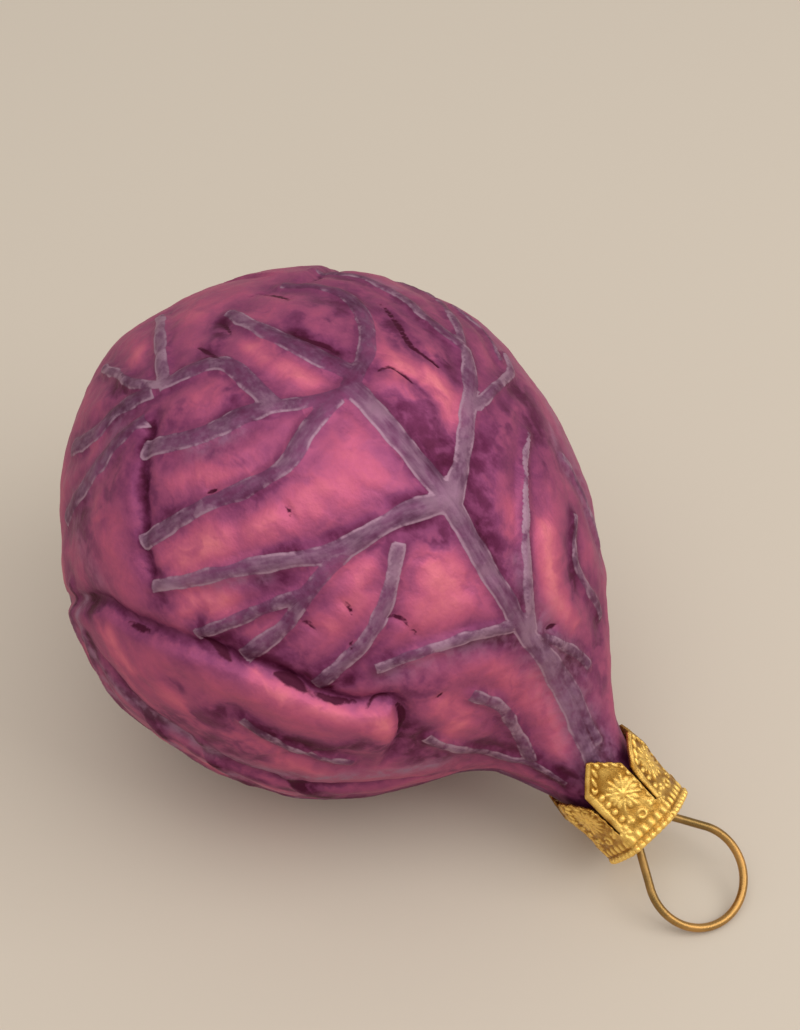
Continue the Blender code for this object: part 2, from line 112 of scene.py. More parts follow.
# Glass head
# One blown shell, silvered inside and dipped in translucent purple lacquer, with the veins
# painted over their ribs. The mould gave it overlapping leaves, raised veins, pillowed panels
# between them and a rolled rim on the outermost leaf. The neck was drawn out by hand.

# A point on the head is given by its place along the axis, toward the cap, and by its degrees
# round the axis from the viewer's side. Half outline of the head and neck: place and radius
OUTLINE = (
    (-29.3, 0.0), (-28.1, 5.3), (-24.6, 12.8), (-19.6, 19.0), (-12.8, 24.8),
    (-2.5, 28.4), (6.0, 28.0), (13.2, 26.1), (20.5, 22.3), (26.8, 16.5),
    (31.0, 11.6), (36.2, 7.5), (40.8, 5.1), (44.0, 4.2), (49.0, 4.0), (55.0, 4.0),
)
# The neck bows out to one side: place and how far
NECK_BOW = (
    (-31.0, 0.0), (12.0, 0.0), (20.5, 0.4), (24.2, 0.9), (26.8, 1.5), (29.5, 2.2),
    (31.5, 2.35), (33.5, 2.1), (36.2, 1.2), (38.8, 0.5), (40.8, 0.0),
)
WALL = 1.2
NECK_END = 8.4  # how far the neck runs inside the cap
AXIS_DIP = 25.45
VIEWER_SIDE = 34.3
CAP_PLACE = 40.8
CAP_LEAN = 4.8
# The relief fades in between two distances from the resting flat, two radii at the crown, and
# two places below the cap
FLAT_CLEAR = (5.5, 11.0)
CROWN_CLEAR = (0, 6)
CAP_CLEAR = (41.5, 38.5)
NECK_SHADE = (38.0, 41.5)  # painted shade under the cap, over darker lacquer, darkens the neck between these places
NECK_PAINTED_SHADE = 0.85
HEAD_COLUMNS, HEAD_ROWS = 332, 288
CROWDING = 0.35  # the columns stand closer together on the viewer's side
BORE_STEPS = (0.0, 4.0, 8.0, 11.0, 13.5)  # the wall inside the neck, from its end down
# Leaf edges: route, step of the leaf on the edge's left, groove beside it, reach of the step
LEAF_EDGES = (
    (((-18.4, 2), (-16.9, 9), (-14.0, 18), (-11.3, 23), (-8.4, 29), (-4.6, 32)), -0.5, 0.35, 7.0),
    (((-14.5, 92), (-13.0, 68), (-9.8, 49), (-6.1, 43), (-1.3, 36), (3.4, 31), (9.7, 27), (15.5, 25),
      (17.8, 21.5), (19.2, 19), (20.9, 23), (21.9, 29), (22.6, 38), (22.6, 50)), -0.7, 0.6, 9.0),
    (((-9.0, 61), (-2.7, 62), (5.2, 64), (14.6, 64), (21.3, 62), (27.6, 58)), -0.45, 0.35, 8.0),
    (((-19.5, -46), (-16.6, -60), (-16.3, -80), (-14.0, -105), (-7.0, -128), (6.0, -142),
      (22.0, -150), (33.0, -152)), 0.75, 0.4, 10.0),
    (((-27.0, 165), (-24.0, 128), (-14.0, 112), (2.0, 106), (18.0, 108), (33.0, 112)), 0.6, 0.4, 9.0),
    (((-27.0, -118), (-24.5, -150), (-14.0, -168), (2.0, -176), (16.0, -172), (30.0, -168)), 0.6, 0.4, 9.0),
)
# The rolled rim of the outer leaf: route, width and height
LEAF_RIM = (((-4.0, 44), (0.6, 37), (8.0, 33), (14.6, 30.5), (18.1, 26.5), (20.2, 26)), 3.6, 0.45)
# Veins in view: route, width at the root and tip, paleness of the paint at the root and tip
VEINS = (
    (((40.0, -3), (37.4, -8), (32.0, -10), (26.0, -16), (18.5, -20), (10.3, -24), (2.7, -26),
      (-4.5, -28)), 1.9, 2.3, 0.55, 0.6),
    (((-4.5, -28), (-6.0, -39), (-9.4, -49), (-12.9, -54), (-17.7, -54)), 1.8, 1.5, 0.12, 0.35),
    (((-5.5, -31), (-10.9, -30), (-16.0, -31), (-19.5, -35)), 2.0, 1.5, 0.1, 0.6),
    (((-4.5, -26), (-6.3, -20), (-8.7, -15)), 1.4, 1.4, 0.15, 0.25),
    (((-8.7, -15), (-10.4, -9), (-12.5, 1), (-15.9, 12)), 1.8, 2.1, 0.25, 0.8),
    (((-8.7, -15), (-12.1, -16), (-16.0, -17), (-17.9, -11), (-19.3, -3)), 2.0, 1.7, 0.4, 0.5),
    (((-19.3, -3), (-22.2, -12), (-24.3, -21), (-26.3, -38)), 1.5, 1.3, 0.9, 0.75),
    (((-19.3, -3), (-22.3, 4), (-24.8, 7), (-27.0, 15)), 1.2, 1.0, 0.7, 0.5),
    (((-19.8, 1), (-21.3, 12), (-21.9, 26), (-23.4, 46)), 1.8, 2.2, 0.4, 0.5),
    (((-18.0, 8), (-18.7, 19), (-18.9, 34), (-19.0, 56)), 1.8, 2.2, 0.4, 0.5),
    (((-4.7, -24), (-4.6, -15), (-3.9, -7), (-5.1, 1), (-7.6, 12), (-9.7, 26)), 1.9, 1.6, 0.25, 0.6),
    (((9.7, -23), (7.5, -14), (5.4, -1), (3.1, 5), (-0.5, 14), (-6.1, 31)), 2.2, 1.2, 0.6, 0.7),
    (((5.8, -2), (5.8, 7), (6.2, 18), (5.2, 28)), 1.6, 1.6, 0.3, 0.5),
    (((5.7, 10), (3.2, 19), (0.4, 31)), 1.4, 1.2, 0.3, 0.6),
    (((9.3, -10), (11.9, 0), (13.0, 11), (12.3, 24)), 1.6, 1.6, 0.75, 0.5),
    (((10.4, -25), (8.4, -33), (6.3, -41), (3.8, -50), (1.0, -58)), 2.1, 1.8, 0.75, 0.6),
    (((0.8, -57), (-3.8, -58), (-8.6, -64), (-16.6, -71)), 1.5, 1.4, 0.35, 0.4),
    (((0.3, -59), (-2.9, -68), (-7.0, -80), (-12.0, -92)), 1.3, 1.0, 0.4, 0.3),
    (((6.0, -46), (6.0, -58), (5.9, -68), (4.2, -74)), 1.1, 0.9, 0.6, 0.8),
    (((-3.6, -78), (0.9, -74), (4.3, -68)), 0.8, 0.8, 0.5, 0.5),
    (((11.5, -55), (13.8, -46), (18.4, -34), (25.0, -19)), 0.8, 1.6, 0.7, 0.5),
    (((23.0, -15), (20.6, -6), (18.5, 2), (15.7, 13)), 1.3, 1.1, 0.5, 0.35),
    (((26.0, -18), (28.8, -17), (32.8, -17), (38.8, -23)), 1.5, 1.2, 0.5, 0.4),
    (((26.3, -20), (29.3, -26), (32.4, -35)), 1.2, 0.9, 0.4, 0.4),
    (((24.3, 29), (27.8, 36), (32.4, 46), (34.8, 41), (39.3, 37)), 1.1, 0.9, 0.5, 0.5),
    (((24.7, 9), (28.0, 11), (31.9, 26), (34.6, 38)), 1.4, 1.2, 0.5, 0.6),
    (((9.0, 42), (15.2, 44), (20.1, 44)), 1.1, 1.0, 0.45, 0.35),
    (((21.0, -57), (22.3, -52), (24.2, -48.5), (27.1, -51), (30.1, -59)), 1.1, 1.0, 0.6, 0.5),
    (((16.0, -66), (18.8, -69), (21.4, -71), (25.3, -77)), 0.9, 0.9, 0.5, 0.4),
)
# Veins out of view: each midrib's place round the axis, and where side veins leave it
HIDDEN_MIDRIBS = (86.0, 136.0, -172.0, -112.0)
LATERAL_ROOTS = (27.0, 19.0, 11.0, 3.0, -5.0)
# Twigs of the hidden veins are only painted on, with no rib under them
TWIG_WIDTH = 0.7
VEIN_HEIGHT = 0.4
VEIN_REACH = 7.5
PILLOW_HEIGHT = 0.35
PILLOW_REACH = 2.4
RELIEF_SINK = 0.45
STEP_FOOT, STEP_TOP = -0.3, 1.3  # a leaf's step rises between these distances from its edge
GROOVE_WIDTH = 0.8
GROOVE_SHADE_OFFSET = 0.25  # how far outside the edge the painted shade in the groove lies
EDGE_ENDS = 0.16  # share of its route over which a leaf edge fades in and out
CRACK_DEPTH = 0.22
CRACK_TIP = 0.35  # width at the ends of a crack, as a share of its middle
STROKE_SOFTNESS = 0.62
BRUSH_RUN = 30  # a vein's length on the brush's own scale
NO_EDGE, NO_CRACK, NO_VEIN = 20.0, 6.0, -6.0  # the marks where none is near
# Lumps of the hand-blown surface: size and height
LUMPS = ((4.5, 0.16), (2.1, 0.11), (1.05, 0.05))
# Where the brush dabbed the paint on pale, mostly where veins meet: place and size
PALE_DABS = (
    (9.9, -24, 2.0), (-19.3, -2, 1.5), (-9.2, -15, 1.4), (24.6, -19, 1.6), (-5.4, -7, 1.6),
    (-1.5, -27, 1.6), (5.0, -44, 1.4), (-4.6, 28, 1.0), (17.5, -21, 1.2), (-17.5, -36, 1.2),
)
# Short dark creases where the glass folded in the mould: route and width
CREASES = (
    (((-12.3, -33), (-10.8, -33), (-9.3, -34), (-7.8, -34)), 0.7),
    (((-8.8, -56), (-5.3, -50), (-2.7, -46), (0.5, -46)), 0.6),
    (((-18.9, -49), (-15.7, -45)), 0.5),
    (((-19.4, -19), (-16.4, -18)), 0.4),
    (((-19.5, -31), (-17.7, -27)), 0.4),
    (((-3.7, -35), (-3.0, -38), (-1.3, -38), (-0.2, -38)), 0.4),
    (((-1.7, -1), (-1.0, -1), (-0.1, 0)), 0.35),
    (((7.3, 15), (7.5, 14), (8.3, 14), (8.9, 14)), 0.35),
    (((8.6, 6), (9.6, 6), (10.4, 7)), 0.35),
    (((13.2, 3), (13.4, 2), (14.5, 1), (15.5, 2)), 0.4),
    (((15.7, 1), (16.5, 2)), 0.35),
    (((26.3, -23), (26.9, -28)), 0.5),
)
# Open cracks along the rolled rim of the outer leaf: route and width
CRACKS = (
    (((-6.1, 44), (-4.7, 42), (-3.5, 40)), 0.5),
    (((0.6, 31), (2.6, 31), (4.5, 31)), 0.8),
    (((8.5, 28), (10.5, 27), (12.1, 27)), 0.9),
    (((12.2, 27), (14.7, 26), (16.5, 24)), 0.5),
    (((17.4, 24), (17.7, 20), (18.1, 19), (19.1, 19)), 0.4),
    (((19.7, 20), (20.7, 22), (21.8, 28)), 0.9),
    (((-8.0, 8), (-7.4, 6)), 0.5),
    (((11.9, 11), (12.5, 13)), 0.3),
    (((22.0, 14), (22.3, 11)), 0.35),
)
# Painted highlights, the pink sheen of the silver where the lacquer runs thin, put into the colour: route,
# width and strength
PAINTED_HIGHLIGHTS = (
    (((-14.8, -8), (-13.7, -11)), 3.2, 0.6),
    (((-14.6, -25), (-13.2, -24)), 2.6, 0.9),
    (((-10.7, -24), (-7.8, -24)), 2.6, 0.8),
    (((-2.2, -16), (0.3, -17), (2.5, -17)), 6.0, 0.3),
    (((2.4, -14), (4.1, -13)), 4.0, 0.3),
    (((-10.3, 9), (-8.0, 4), (-6.3, -2)), 3.0, 0.55),
    (((-5.5, 21), (-5.0, 17), (-4.4, 14)), 4.2, 1.0),
    (((-1.5, 6), (-0.8, 2)), 3.6, 0.7),
    (((-0.5, -3), (1.3, -9)), 4.5, 0.5),
    (((-3.8, -41), (-2.0, -39)), 2.8, 0.8),
    (((1.9, -42), (3.9, -41), (4.9, -39)), 3.4, 1.0),
    (((-6.7, -48), (-4.5, -42)), 2.0, 0.5),
    (((-24.6, -9), (-24.2, -5)), 2.2, 0.7),
    (((-22.0, 11), (-21.8, 8)), 1.8, 0.5),
    (((-17.5, -35), (-16.3, -35)), 2.0, 0.5),
    (((12.9, -10), (15.4, -13)), 4.5, 0.8),
    (((7.0, 2), (8.5, -1)), 3.4, 0.8),
    (((9.8, 6), (10.7, 2)), 3.2, 0.6),
    (((-1.8, 26), (0.2, 22)), 3.4, 1.0),
    (((19.2, -41), (21.4, -37), (23.8, -33)), 2.6, 1.0),
    (((24.6, -32), (26.4, -33), (28.3, -34)), 2.0, 0.8),
    (((15.2, -36), (16.7, -32)), 1.6, 0.6),
    (((16.7, -6), (17.3, -14), (19.0, -18)), 4.5, 0.6),
    (((4.7, 23), (5.4, 20)), 2.2, 0.6),
    (((8.2, 18), (9.2, 12)), 3.0, 0.45),
    (((13.9, -4), (15.4, -3)), 3.0, 0.5),
    (((23.6, 14), (25.9, 20), (26.0, 26)), 3.4, 0.7),
    (((25.3, -3), (27.6, 1), (29.6, 6)), 3.0, 0.55),
    (((28.6, -5), (31.7, -0), (34.5, 5), (36.3, 7)), 3.0, 0.8),
    (((18.3, 8), (19.7, 4)), 2.2, 0.4),
    (((1.8, 49), (3.2, 49)), 2.4, 0.5),
    (((-6.8, 50), (-4.9, 51), (-2.9, 51)), 1.6, 0.7),
    (((8.9, 44), (11.1, 46), (13.5, 48)), 2.0, 0.6),
    (((-25.3, -31), (-22.1, -33)), 3.0, 0.35),
    (((-21.6, 24), (-21.1, 29)), 2.0, 0.4),
    (((-13.1, 36), (-11.1, 36)), 2.4, 0.3),
    (((7.2, 30), (8.6, 30), (11.3, 29), (13.9, 28), (16.5, 27), (18.6, 24), (19.9, 25)), 1.6, 0.95),
    (((18.4, 25), (20.0, 25), (21.1, 30)), 2.6, 0.6),
    (((9.8, 48), (13.8, 50), (18.5, 52)), 2.2, 0.5),
    (((-5.1, -41), (-1.2, -41), (3.0, -41), (5.5, -39)), 2.6, 0.85),
    (((-8.1, -48), (-5.2, -43)), 2.2, 0.7),
    (((-1.3, -48), (1.0, -45), (2.7, -44)), 1.4, 0.5),
    (((-2.3, -34), (-0.1, -34), (1.7, -34)), 2.6, 0.35),
    (((-9.7, 51), (-5.9, 53), (-2.3, 56), (2.5, 60)), 0.9, 0.45),
    (((-18.3, 28), (-16.6, 33), (-14.3, 36)), 1.6, 0.3),
)
# Painted shade in valleys, folds and under the rim, and places where the lacquer pooled and dried dark:
# route, width and strength
PAINTED_SHADE_AND_POOLS = (
    (((-12.5, -33), (-10.3, -34), (-7.8, -34)), 1.6, 1.0),
    (((-11.0, -41), (-11.0, -46)), 1.4, 0.8),
    (((-19.5, -31), (-18.2, -24), (-18.0, -18)), 1.8, 0.8),
    (((-13.2, -12), (-11.8, -8)), 1.4, 0.7),
    (((-16.4, 8), (-16.6, 4), (-15.1, -2)), 3.0, 0.5),
    (((-9.9, 2), (-8.4, 1), (-7.5, -1)), 1.1, 0.7),
    (((-17.6, 7), (-15.7, 13), (-13.9, 18), (-11.8, 22), (-10.1, 24)), 1.2, 0.5),
    (((-11.7, 18), (-10.0, 19), (-8.5, 16)), 2.6, 0.6),
    (((0.4, 8), (2.2, 4)), 1.3, 0.9),
    (((4.1, -2), (5.0, -5), (5.8, -9)), 1.5, 0.7),
    (((6.6, -16), (7.4, -19), (8.4, -22)), 1.5, 0.7),
    (((8.9, -15), (10.4, -16), (11.9, -17)), 2.6, 0.8),
    (((1.2, -33), (3.8, -33), (6.8, -30)), 4.5, 0.7),
    (((-7.0, -51), (-3.8, -46), (-1.5, -46), (0.7, -48)), 2.4, 0.8),
    (((1.9, 13), (3.2, 10)), 1.4, 0.7),
    (((12.3, -33), (13.8, -27), (16.3, -24), (18.9, -23)), 3.6, 0.8),
    (((8.6, -64), (11.8, -61), (14.5, -57)), 4.0, 0.7),
    (((8.4, -40), (10.2, -34)), 2.0, 0.5),
    (((20.6, -55), (23.1, -50), (25.8, -42)), 1.8, 0.8),
    (((20.7, -24), (22.1, -23)), 2.0, 0.7),
    (((26.1, -18), (28.7, -21), (31.7, -27)), 2.4, 0.6),
    (((20.7, -4), (22.8, -10), (24.4, -12)), 1.6, 0.8),
    (((30.2, -56), (32.5, -51), (34.9, -49)), 2.4, 0.6),
    (((-6.2, 28), (-5.1, 30), (-4.0, 33)), 2.4, 0.6),
    (((-10.9, 53), (-9.2, 51)), 2.2, 0.8),
    (((4.7, 50), (6.6, 49), (8.0, 46)), 2.4, 0.7),
    (((8.2, 55), (10.5, 55)), 3.6, 0.7),
    (((23.3, 35), (25.2, 40), (26.7, 39)), 2.6, 0.7),
    (((14.2, 20), (14.9, 17)), 1.2, 0.8),
    (((7.7, 21), (10.1, 21), (11.6, 21)), 3.2, 0.5),
    (((16.0, 11), (18.7, 12), (20.8, 12)), 3.4, 0.5),
    (((-3.7, 2), (-2.2, -4)), 2.4, 0.35),
    (((-16.8, 43), (-14.1, 41), (-11.7, 45)), 3.6, 0.5),
    (((-16.4, 21), (-15.4, 29), (-14.8, 34)), 2.6, 0.4),
    (((37.5, -15), (39.8, -15)), 3.0, 0.8),
    (((37.6, 28), (40.0, 29)), 2.4, 0.8),
    (((16.1, 73), (21.2, 77)), 1.6, 0.8),
    (((29.0, 33), (33.2, 38), (36.4, 30)), 2.0, 0.5),
    (((-10.6, -51), (-11.5, -60), (-14.2, -64)), 2.0, 0.3),
    (((-9.0, 61), (-3.0, 68), (6.0, 67.5), (14.0, 67), (21.0, 70)), 0.9, 0.8),
    (((-2.0, 75), (6.0, 74), (14.0, 74), (22.0, 76)), 1.1, 0.8),
    (((8.6, -54), (9.8, -44), (11.1, -39)), 2.4, 0.5),
    (((-23.6, 10), (-21.3, 9), (-21.3, 17)), 2.4, 0.6),
    (((-13.1, -38), (-13.1, -46), (-11.3, -50)), 2.0, 0.4),
    (((6.9, 42), (10.9, 42), (14.4, 41), (17.6, 39), (19.5, 33), (21.3, 33)), 2.0, 0.8),
    (((1.1, 45), (2.4, 44)), 1.2, 0.6),
    (((3.3, 62), (5.6, 50), (7.3, 44), (9.9, 49), (12.3, 53)), 3.0, 0.7),
    (((-9.3, 69), (-5.7, 65), (-2.0, 64), (3.5, 63), (8.1, 61), (14.1, 61), (20.0, 66)), 0.9, 0.8),
    (((-6.6, -50), (-3.2, -48), (-0.0, -46), (2.6, -47)), 1.2, 0.6),
    (((-7.1, -61), (-2.8, -54), (0.5, -51)), 2.4, 0.4),
    (((-4.2, -35), (-2.9, -37), (-1.6, -38), (0.9, -38), (2.7, -37), (4.1, -35)), 0.6, 0.8),
    (((-0.0, 29), (4.4, 27), (9.4, 25), (13.5, 23)), 2.2, 0.8),
    (((-17.0, 7), (-14.8, 13), (-12.3, 20), (-9.5, 25), (-6.2, 31)), 0.8, 0.6),
    (((9.1, -31), (11.5, -28), (14.5, -26)), 3.4, 0.55),
    (((9.0, -41), (10.5, -35), (12.2, -30)), 2.0, 0.5),
    (((22.0, 32), (22.5, 27), (24.4, 31)), 3.0, 0.8),
    (((27.5, 57), (29.6, 61), (32.0, 61)), 1.0, 0.5),
    (((36.0, 40), (38.9, 42), (40.6, 42)), 2.0, 0.7),
)
# Wide watery strokes of the pale paint, some of them a painted sheen along the outline: route, width and
# strength
WASHES_AND_SHEEN = (
    (((6.7, 64), (11.1, 60), (15.0, 59), (18.9, 55), (22.4, 50), (25.2, 47), (27.4, 46)), 1.6, 0.95),
    (((-11.9, 58), (-9.9, 63), (-6.8, 65), (-3.2, 65), (1.4, 63), (5.8, 64), (9.3, 63)), 1.2, 0.95),
    (((13.1, -68), (16.6, -65), (21.7, -69), (24.3, -71)), 1.8, 0.6),
    (((-12.1, -71), (-7.7, -70)), 1.6, 0.5),
    (((-20.2, 14), (-19.0, 24), (-18.9, 35)), 2.4, 0.4),
    (((-19.5, 49), (-15.5, 46), (-10.9, 44)), 2.4, 0.35),
    (((25.5, -20), (29.5, -16), (34.0, -14), (40.5, -14)), 4.6, 0.7),
    (((23.2, -11), (20.4, -1), (18.4, 7), (16.9, 13)), 2.2, 0.4),
    (((-9.7, -7), (-10.6, -1), (-11.9, 4)), 1.6, 0.5),
    (((1.6, 12), (-0.2, 16), (-2.2, 21)), 1.4, 0.5),
    (((19.1, -28), (22.4, -24)), 1.6, 0.4),
    (((1.0, -80), (8.0, -79), (16.0, -77), (25.0, -76)), 4.0, 0.6),
    (((-4.0, 73), (4.0, 71), (12.0, 70), (20.0, 72)), 1.0, 0.9),
    (((-14.0, 66), (-8.0, 70), (0.0, 69)), 1.0, 0.8),
)


def smooth_points(points, steps):
    """Points on a smooth curve through the given ones (Catmull-Rom)."""
    ends = np.array(points, float)
    run = np.vstack([2 * ends[0] - ends[1], ends, 2 * ends[-1] - ends[-2]])
    part = np.linspace(0, 1, steps, endpoint=False)[:, None]
    curve = []
    for before, start, end, after in zip(run, run[1:], run[2:], run[3:]):
        curve.append(
            start
            + 0.5 * (end - before) * part
            + (before - 2.5 * start + 2 * end - 0.5 * after) * part**2
            + 0.5 * (3 * start - before - 3 * end + after) * part**3
        )
    return np.vstack(curve + [ends[-1:]])


half_outline = smooth_points(OUTLINE, 24)
half_outline[:, 1] = np.maximum(half_outline[:, 1], 0)
outline_steps = np.linalg.norm(np.diff(half_outline, axis=0), axis=1)
outline_run = np.concatenate([[0], np.cumsum(outline_steps)])
outline_slope = np.gradient(half_outline[:, 1], outline_run)
bow_line = smooth_points(NECK_BOW, 12)
lean_slope = math.tan(math.radians(CAP_LEAN))


def bow_at(along):
    """Sideways place of the head's middle line, toward -Y."""
    bow = np.interp(along, bow_line[:, 0], bow_line[:, 1])
    return bow - lean_slope * np.maximum(along - CAP_PLACE, 0)


def surface_points(along, angle):
    """Points of the plain head, before its relief."""
    radius = np.interp(along, half_outline[:, 0], half_outline[:, 1])
    return np.stack([radius * np.cos(angle), radius * np.sin(angle) - bow_at(along), along], -1)


def ease(value, low, high):
    """A smooth climb from 0 at low to 1 at high."""
    part = np.clip((value - low) / (high - low), 0, 1)
    return part * part * (3 - 2 * part)


def distance_to_route(points, route, reach, steps=8):
    """Which points are near a route, and for those the distance, the side (+ left), how far along
    it they are from 0 to 1, and how far past its ends."""
    curve = smooth_points(route, steps)
    line = surface_points(curve[:, 0], np.radians(curve[:, 1]))
    run = np.diff(line, axis=0)
    length = np.linalg.norm(run, axis=1)
    passed = np.concatenate([[0], np.cumsum(length)])
    above, below = points > line.min(axis=0) - reach, points < line.max(axis=0) + reach
    close = np.flatnonzero(np.all(above & below, axis=1))
    local = points[close]
    distance, side = np.full(len(close), 1e3), np.ones(len(close))
    place, beyond = np.zeros(len(close)), np.zeros(len(close))
    for begin, step, size, before in zip(line, run, length, passed):
        offset = local - begin
        whole = offset @ step / size**2
        part = np.clip(whole, 0, 1)
        gap = offset - part[:, None] * step
        new = np.linalg.norm(gap, axis=1)
        middle = begin + 0.5 * step
        left = np.cross((middle[0], middle[1] + bow_at(middle[2]), 0), step)
        closer = new < distance
        distance[closer] = new[closer]
        side[closer] = np.sign(gap[closer] @ left)
        place[closer] = (before + part[closer] * size) / passed[-1]
        past = np.abs(whole - part) * size
        at_end = (place[closer] == 0) | (place[closer] >= 1 - 1e-9)
        beyond[closer] = np.where(at_end, past[closer], 0)
    return close, distance, side, place, beyond


def hidden_veins():
    """Midrib and paired side veins of each leaf out of view, with a small seeded wander. The ribs
    that come round into view are left unpainted."""
    wander = np.random.default_rng(7)
    for middle in HIDDEN_MIDRIBS:
        midrib = (
            (40.0, middle), (30.0, middle + 2), (15.0, middle - 2), (0.0, middle + 1),
            (-19.0, middle + 4),
        )
        yield midrib, 2.1, 1.3, 0.3, 0.5
        for root in LATERAL_ROOTS:
            for hand in (-1, 1):
                start = root + wander.uniform(-2, 2)
                spread = hand * wander.uniform(0.9, 1.15)
                in_view = middle == HIDDEN_MIDRIBS[0] and hand < 0
                fork = (start - 8, middle + 16 * spread)
                lateral = (
                    (start, middle), (start - 4, middle + 8 * spread), fork,
                    (start - 11, middle + 22 * spread),
                )
                root_pale, tip_pale = (-0.9, -0.9) if in_view else (0.3, 0.6)
                yield lateral, 1.7, 1.1, root_pale, tip_pale
                if not in_view and (middle, hand) != (HIDDEN_MIDRIBS[-1], 1):
                    twig = fork, (start - 6.5, middle + 21 * spread), (start - 7, middle + 27 * spread)
                    yield twig, TWIG_WIDTH, 0.5, 0.4, 0.6


def hidden_panel_highlights():
    """Painted highlights in the middles of the panels between the hidden side veins, each a little
    different.
    """
    wander = np.random.default_rng(11)
    for middle in HIDDEN_MIDRIBS:
        for root in LATERAL_ROOTS:
            for hand in (-1, 1):
                near = (root - 6.5 + wander.uniform(-1, 1), middle + 6 * hand)
                far = (root - 11.5 + wander.uniform(-1, 1), middle + 15 * hand)
                yield (near, far), 4.0, wander.uniform(0.2, 0.9)


def relief_and_marks(points):
    """Relief height, and the fields that the lacquer's colours follow."""
    size = len(points)
    height = np.zeros(size)
    edge, near, crack = np.full(size, NO_EDGE), np.full(size, NO_EDGE), np.full(size, NO_CRACK)
    for route, step, groove, reach in LEAF_EDGES:
        close, distance, side, place, beyond = distance_to_route(points, route, 2.5 * reach)
        fade = ease(place, 0, EDGE_ENDS) * ease(1 - place, 0, EDGE_ENDS)
        signed = distance * side * np.sign(step)
        rise = ease(signed, STEP_FOOT, STEP_TOP) * np.exp(-((np.maximum(signed, 0) / reach) ** 2))
        trench = np.exp(-(((signed - STEP_FOOT) / GROOVE_WIDTH) ** 2))
        height[close] += fade * (abs(step) * rise - groove * trench)
        near[close] = np.minimum(near[close], distance / np.maximum(fade, 0.05))
        edge[close] = np.minimum(edge[close], np.abs(signed + GROOVE_SHADE_OFFSET) + 1.2 * (1 - fade))
    rim = np.zeros(size)
    route, width, rim_height = LEAF_RIM
    close, distance, side, place, beyond = distance_to_route(points, route, 2 * width)
    rim[close] = np.exp(-((distance / (0.5 * width)) ** 2)) * ease(place, 0, 0.2)
    height += rim_height * rim
    raised, vein, pale = np.zeros(size), np.full(size, NO_VEIN), np.zeros(size)
    brush_across, brush_along = np.zeros(size), np.zeros(size)
    for route, root, tip, root_pale, tip_pale in (*VEINS, *hidden_veins()):
        close, distance, side, place, beyond = distance_to_route(points, route, VEIN_REACH, 6)
        half = 0.5 * (root + (tip - root) * place)
        if root > TWIG_WIDTH:
            raised[close] = np.maximum(raised[close], 1 - ease(distance, 0.2 * half, half + 0.7))
            near[close] = np.minimum(near[close], np.maximum(distance - half, 0))
        beside = np.sqrt(np.maximum(distance**2 - beyond**2, 0))
        depth = np.minimum(half - beside, 0.4 * half - beyond)
        inner = depth > vein[close]
        vein[close[inner]] = depth[inner]
        pale[close[inner]] = (root_pale + (tip_pale - root_pale) * place**2)[inner]
        brush_across[close[inner]] = (beside * side * MM)[inner]
        brush_along[close[inner]] = (place * BRUSH_RUN * MM)[inner]
    for along, degrees, reach in PALE_DABS:
        middle = surface_points(np.array(along), np.radians(degrees))
        pale += 0.6 * np.exp(-((np.linalg.norm(points - middle, axis=1) / reach) ** 2))
    for route, width in (*CREASES, *CRACKS):
        close, distance, side, place, beyond = distance_to_route(points, route, 3.0, 5)
        taper = CRACK_TIP + (1 - CRACK_TIP) * np.sin(np.pi * place)
        crack[close] = np.minimum(crack[close], distance - 0.5 * width * taper)
        height[close] -= CRACK_DEPTH * np.exp(-((distance / (0.6 * width * taper + 0.15)) ** 2))
    shades = []
    for strokes in ((*PAINTED_HIGHLIGHTS, *hidden_panel_highlights()), PAINTED_SHADE_AND_POOLS, WASHES_AND_SHEEN):
        shade = np.zeros(size)
        for route, width, strength in strokes:
            close, distance, side, place, beyond = distance_to_route(points, route, 1.4 * width, 4)
            stroke = strength * np.exp(-((distance / (STROKE_SOFTNESS * width)) ** 2))
            shade[close] = np.maximum(shade[close], stroke)
        shades.append(shade)
    pillow = 1 - np.exp(-((near / PILLOW_REACH) ** 2))
    height += VEIN_HEIGHT * raised + PILLOW_HEIGHT * pillow * (1 - raised) - RELIEF_SINK
    marks = {
        "vein": vein, "pale": pale, "edge": edge, "crack": crack, "rim": rim, "pillow": pillow,
    }
    marks["painted_highlight"], marks["shade_and_pools"], marks["wash_and_sheen"] = shades
    marks["brush_across"], marks["brush_along"] = brush_across, brush_along
    return height, marks


roll = Matrix.Rotation(math.radians(180 + VIEWER_SIDE), 4, "Z")
lay_down = Matrix.Rotation(math.radians(90 + AXIS_DIP), 4, "Y") @ roll
stand = Matrix.Translation(HEAD_MIDDLE) @ lay_down @ Matrix.Scale(MM, 4)
# It rests on the lowest point of its plain shape, looked for every 0.2 mm and every degree
along_grid, angle_grid = np.meshgrid(np.linspace(-30, 45, 376), np.radians(np.arange(0, 360, 1)))
plain_grid = surface_points(along_grid.ravel(), angle_grid.ravel())
flat_middle = plain_grid[(plain_grid @ np.array(lay_down.to_3x3()).T)[:, 2].argmin()]


def cut_flat(shape, point, normal):
    """Cut off what lies past a plane; gives the open edges of the cut."""
    every = shape.verts[:] + shape.edges[:] + shape.faces[:]
    bmesh.ops.bisect_plane(
        shape, geom=every, dist=1e-6, plane_co=point, plane_no=normal, clear_outer=True
    )
    return [edge for edge in shape.edges if edge.is_boundary]


def finished_object(shape, name, smooth=True):
    """Write a bmesh that is already in its place to an object, and free it."""
    mesh = bpy.data.meshes.new(name)
    shape.to_mesh(mesh)
    shape.free()
    if smooth:
        mesh.shade_smooth()
    obj = bpy.data.objects.new(name, mesh)
    bpy.context.scene.collection.objects.link(obj)
    return obj


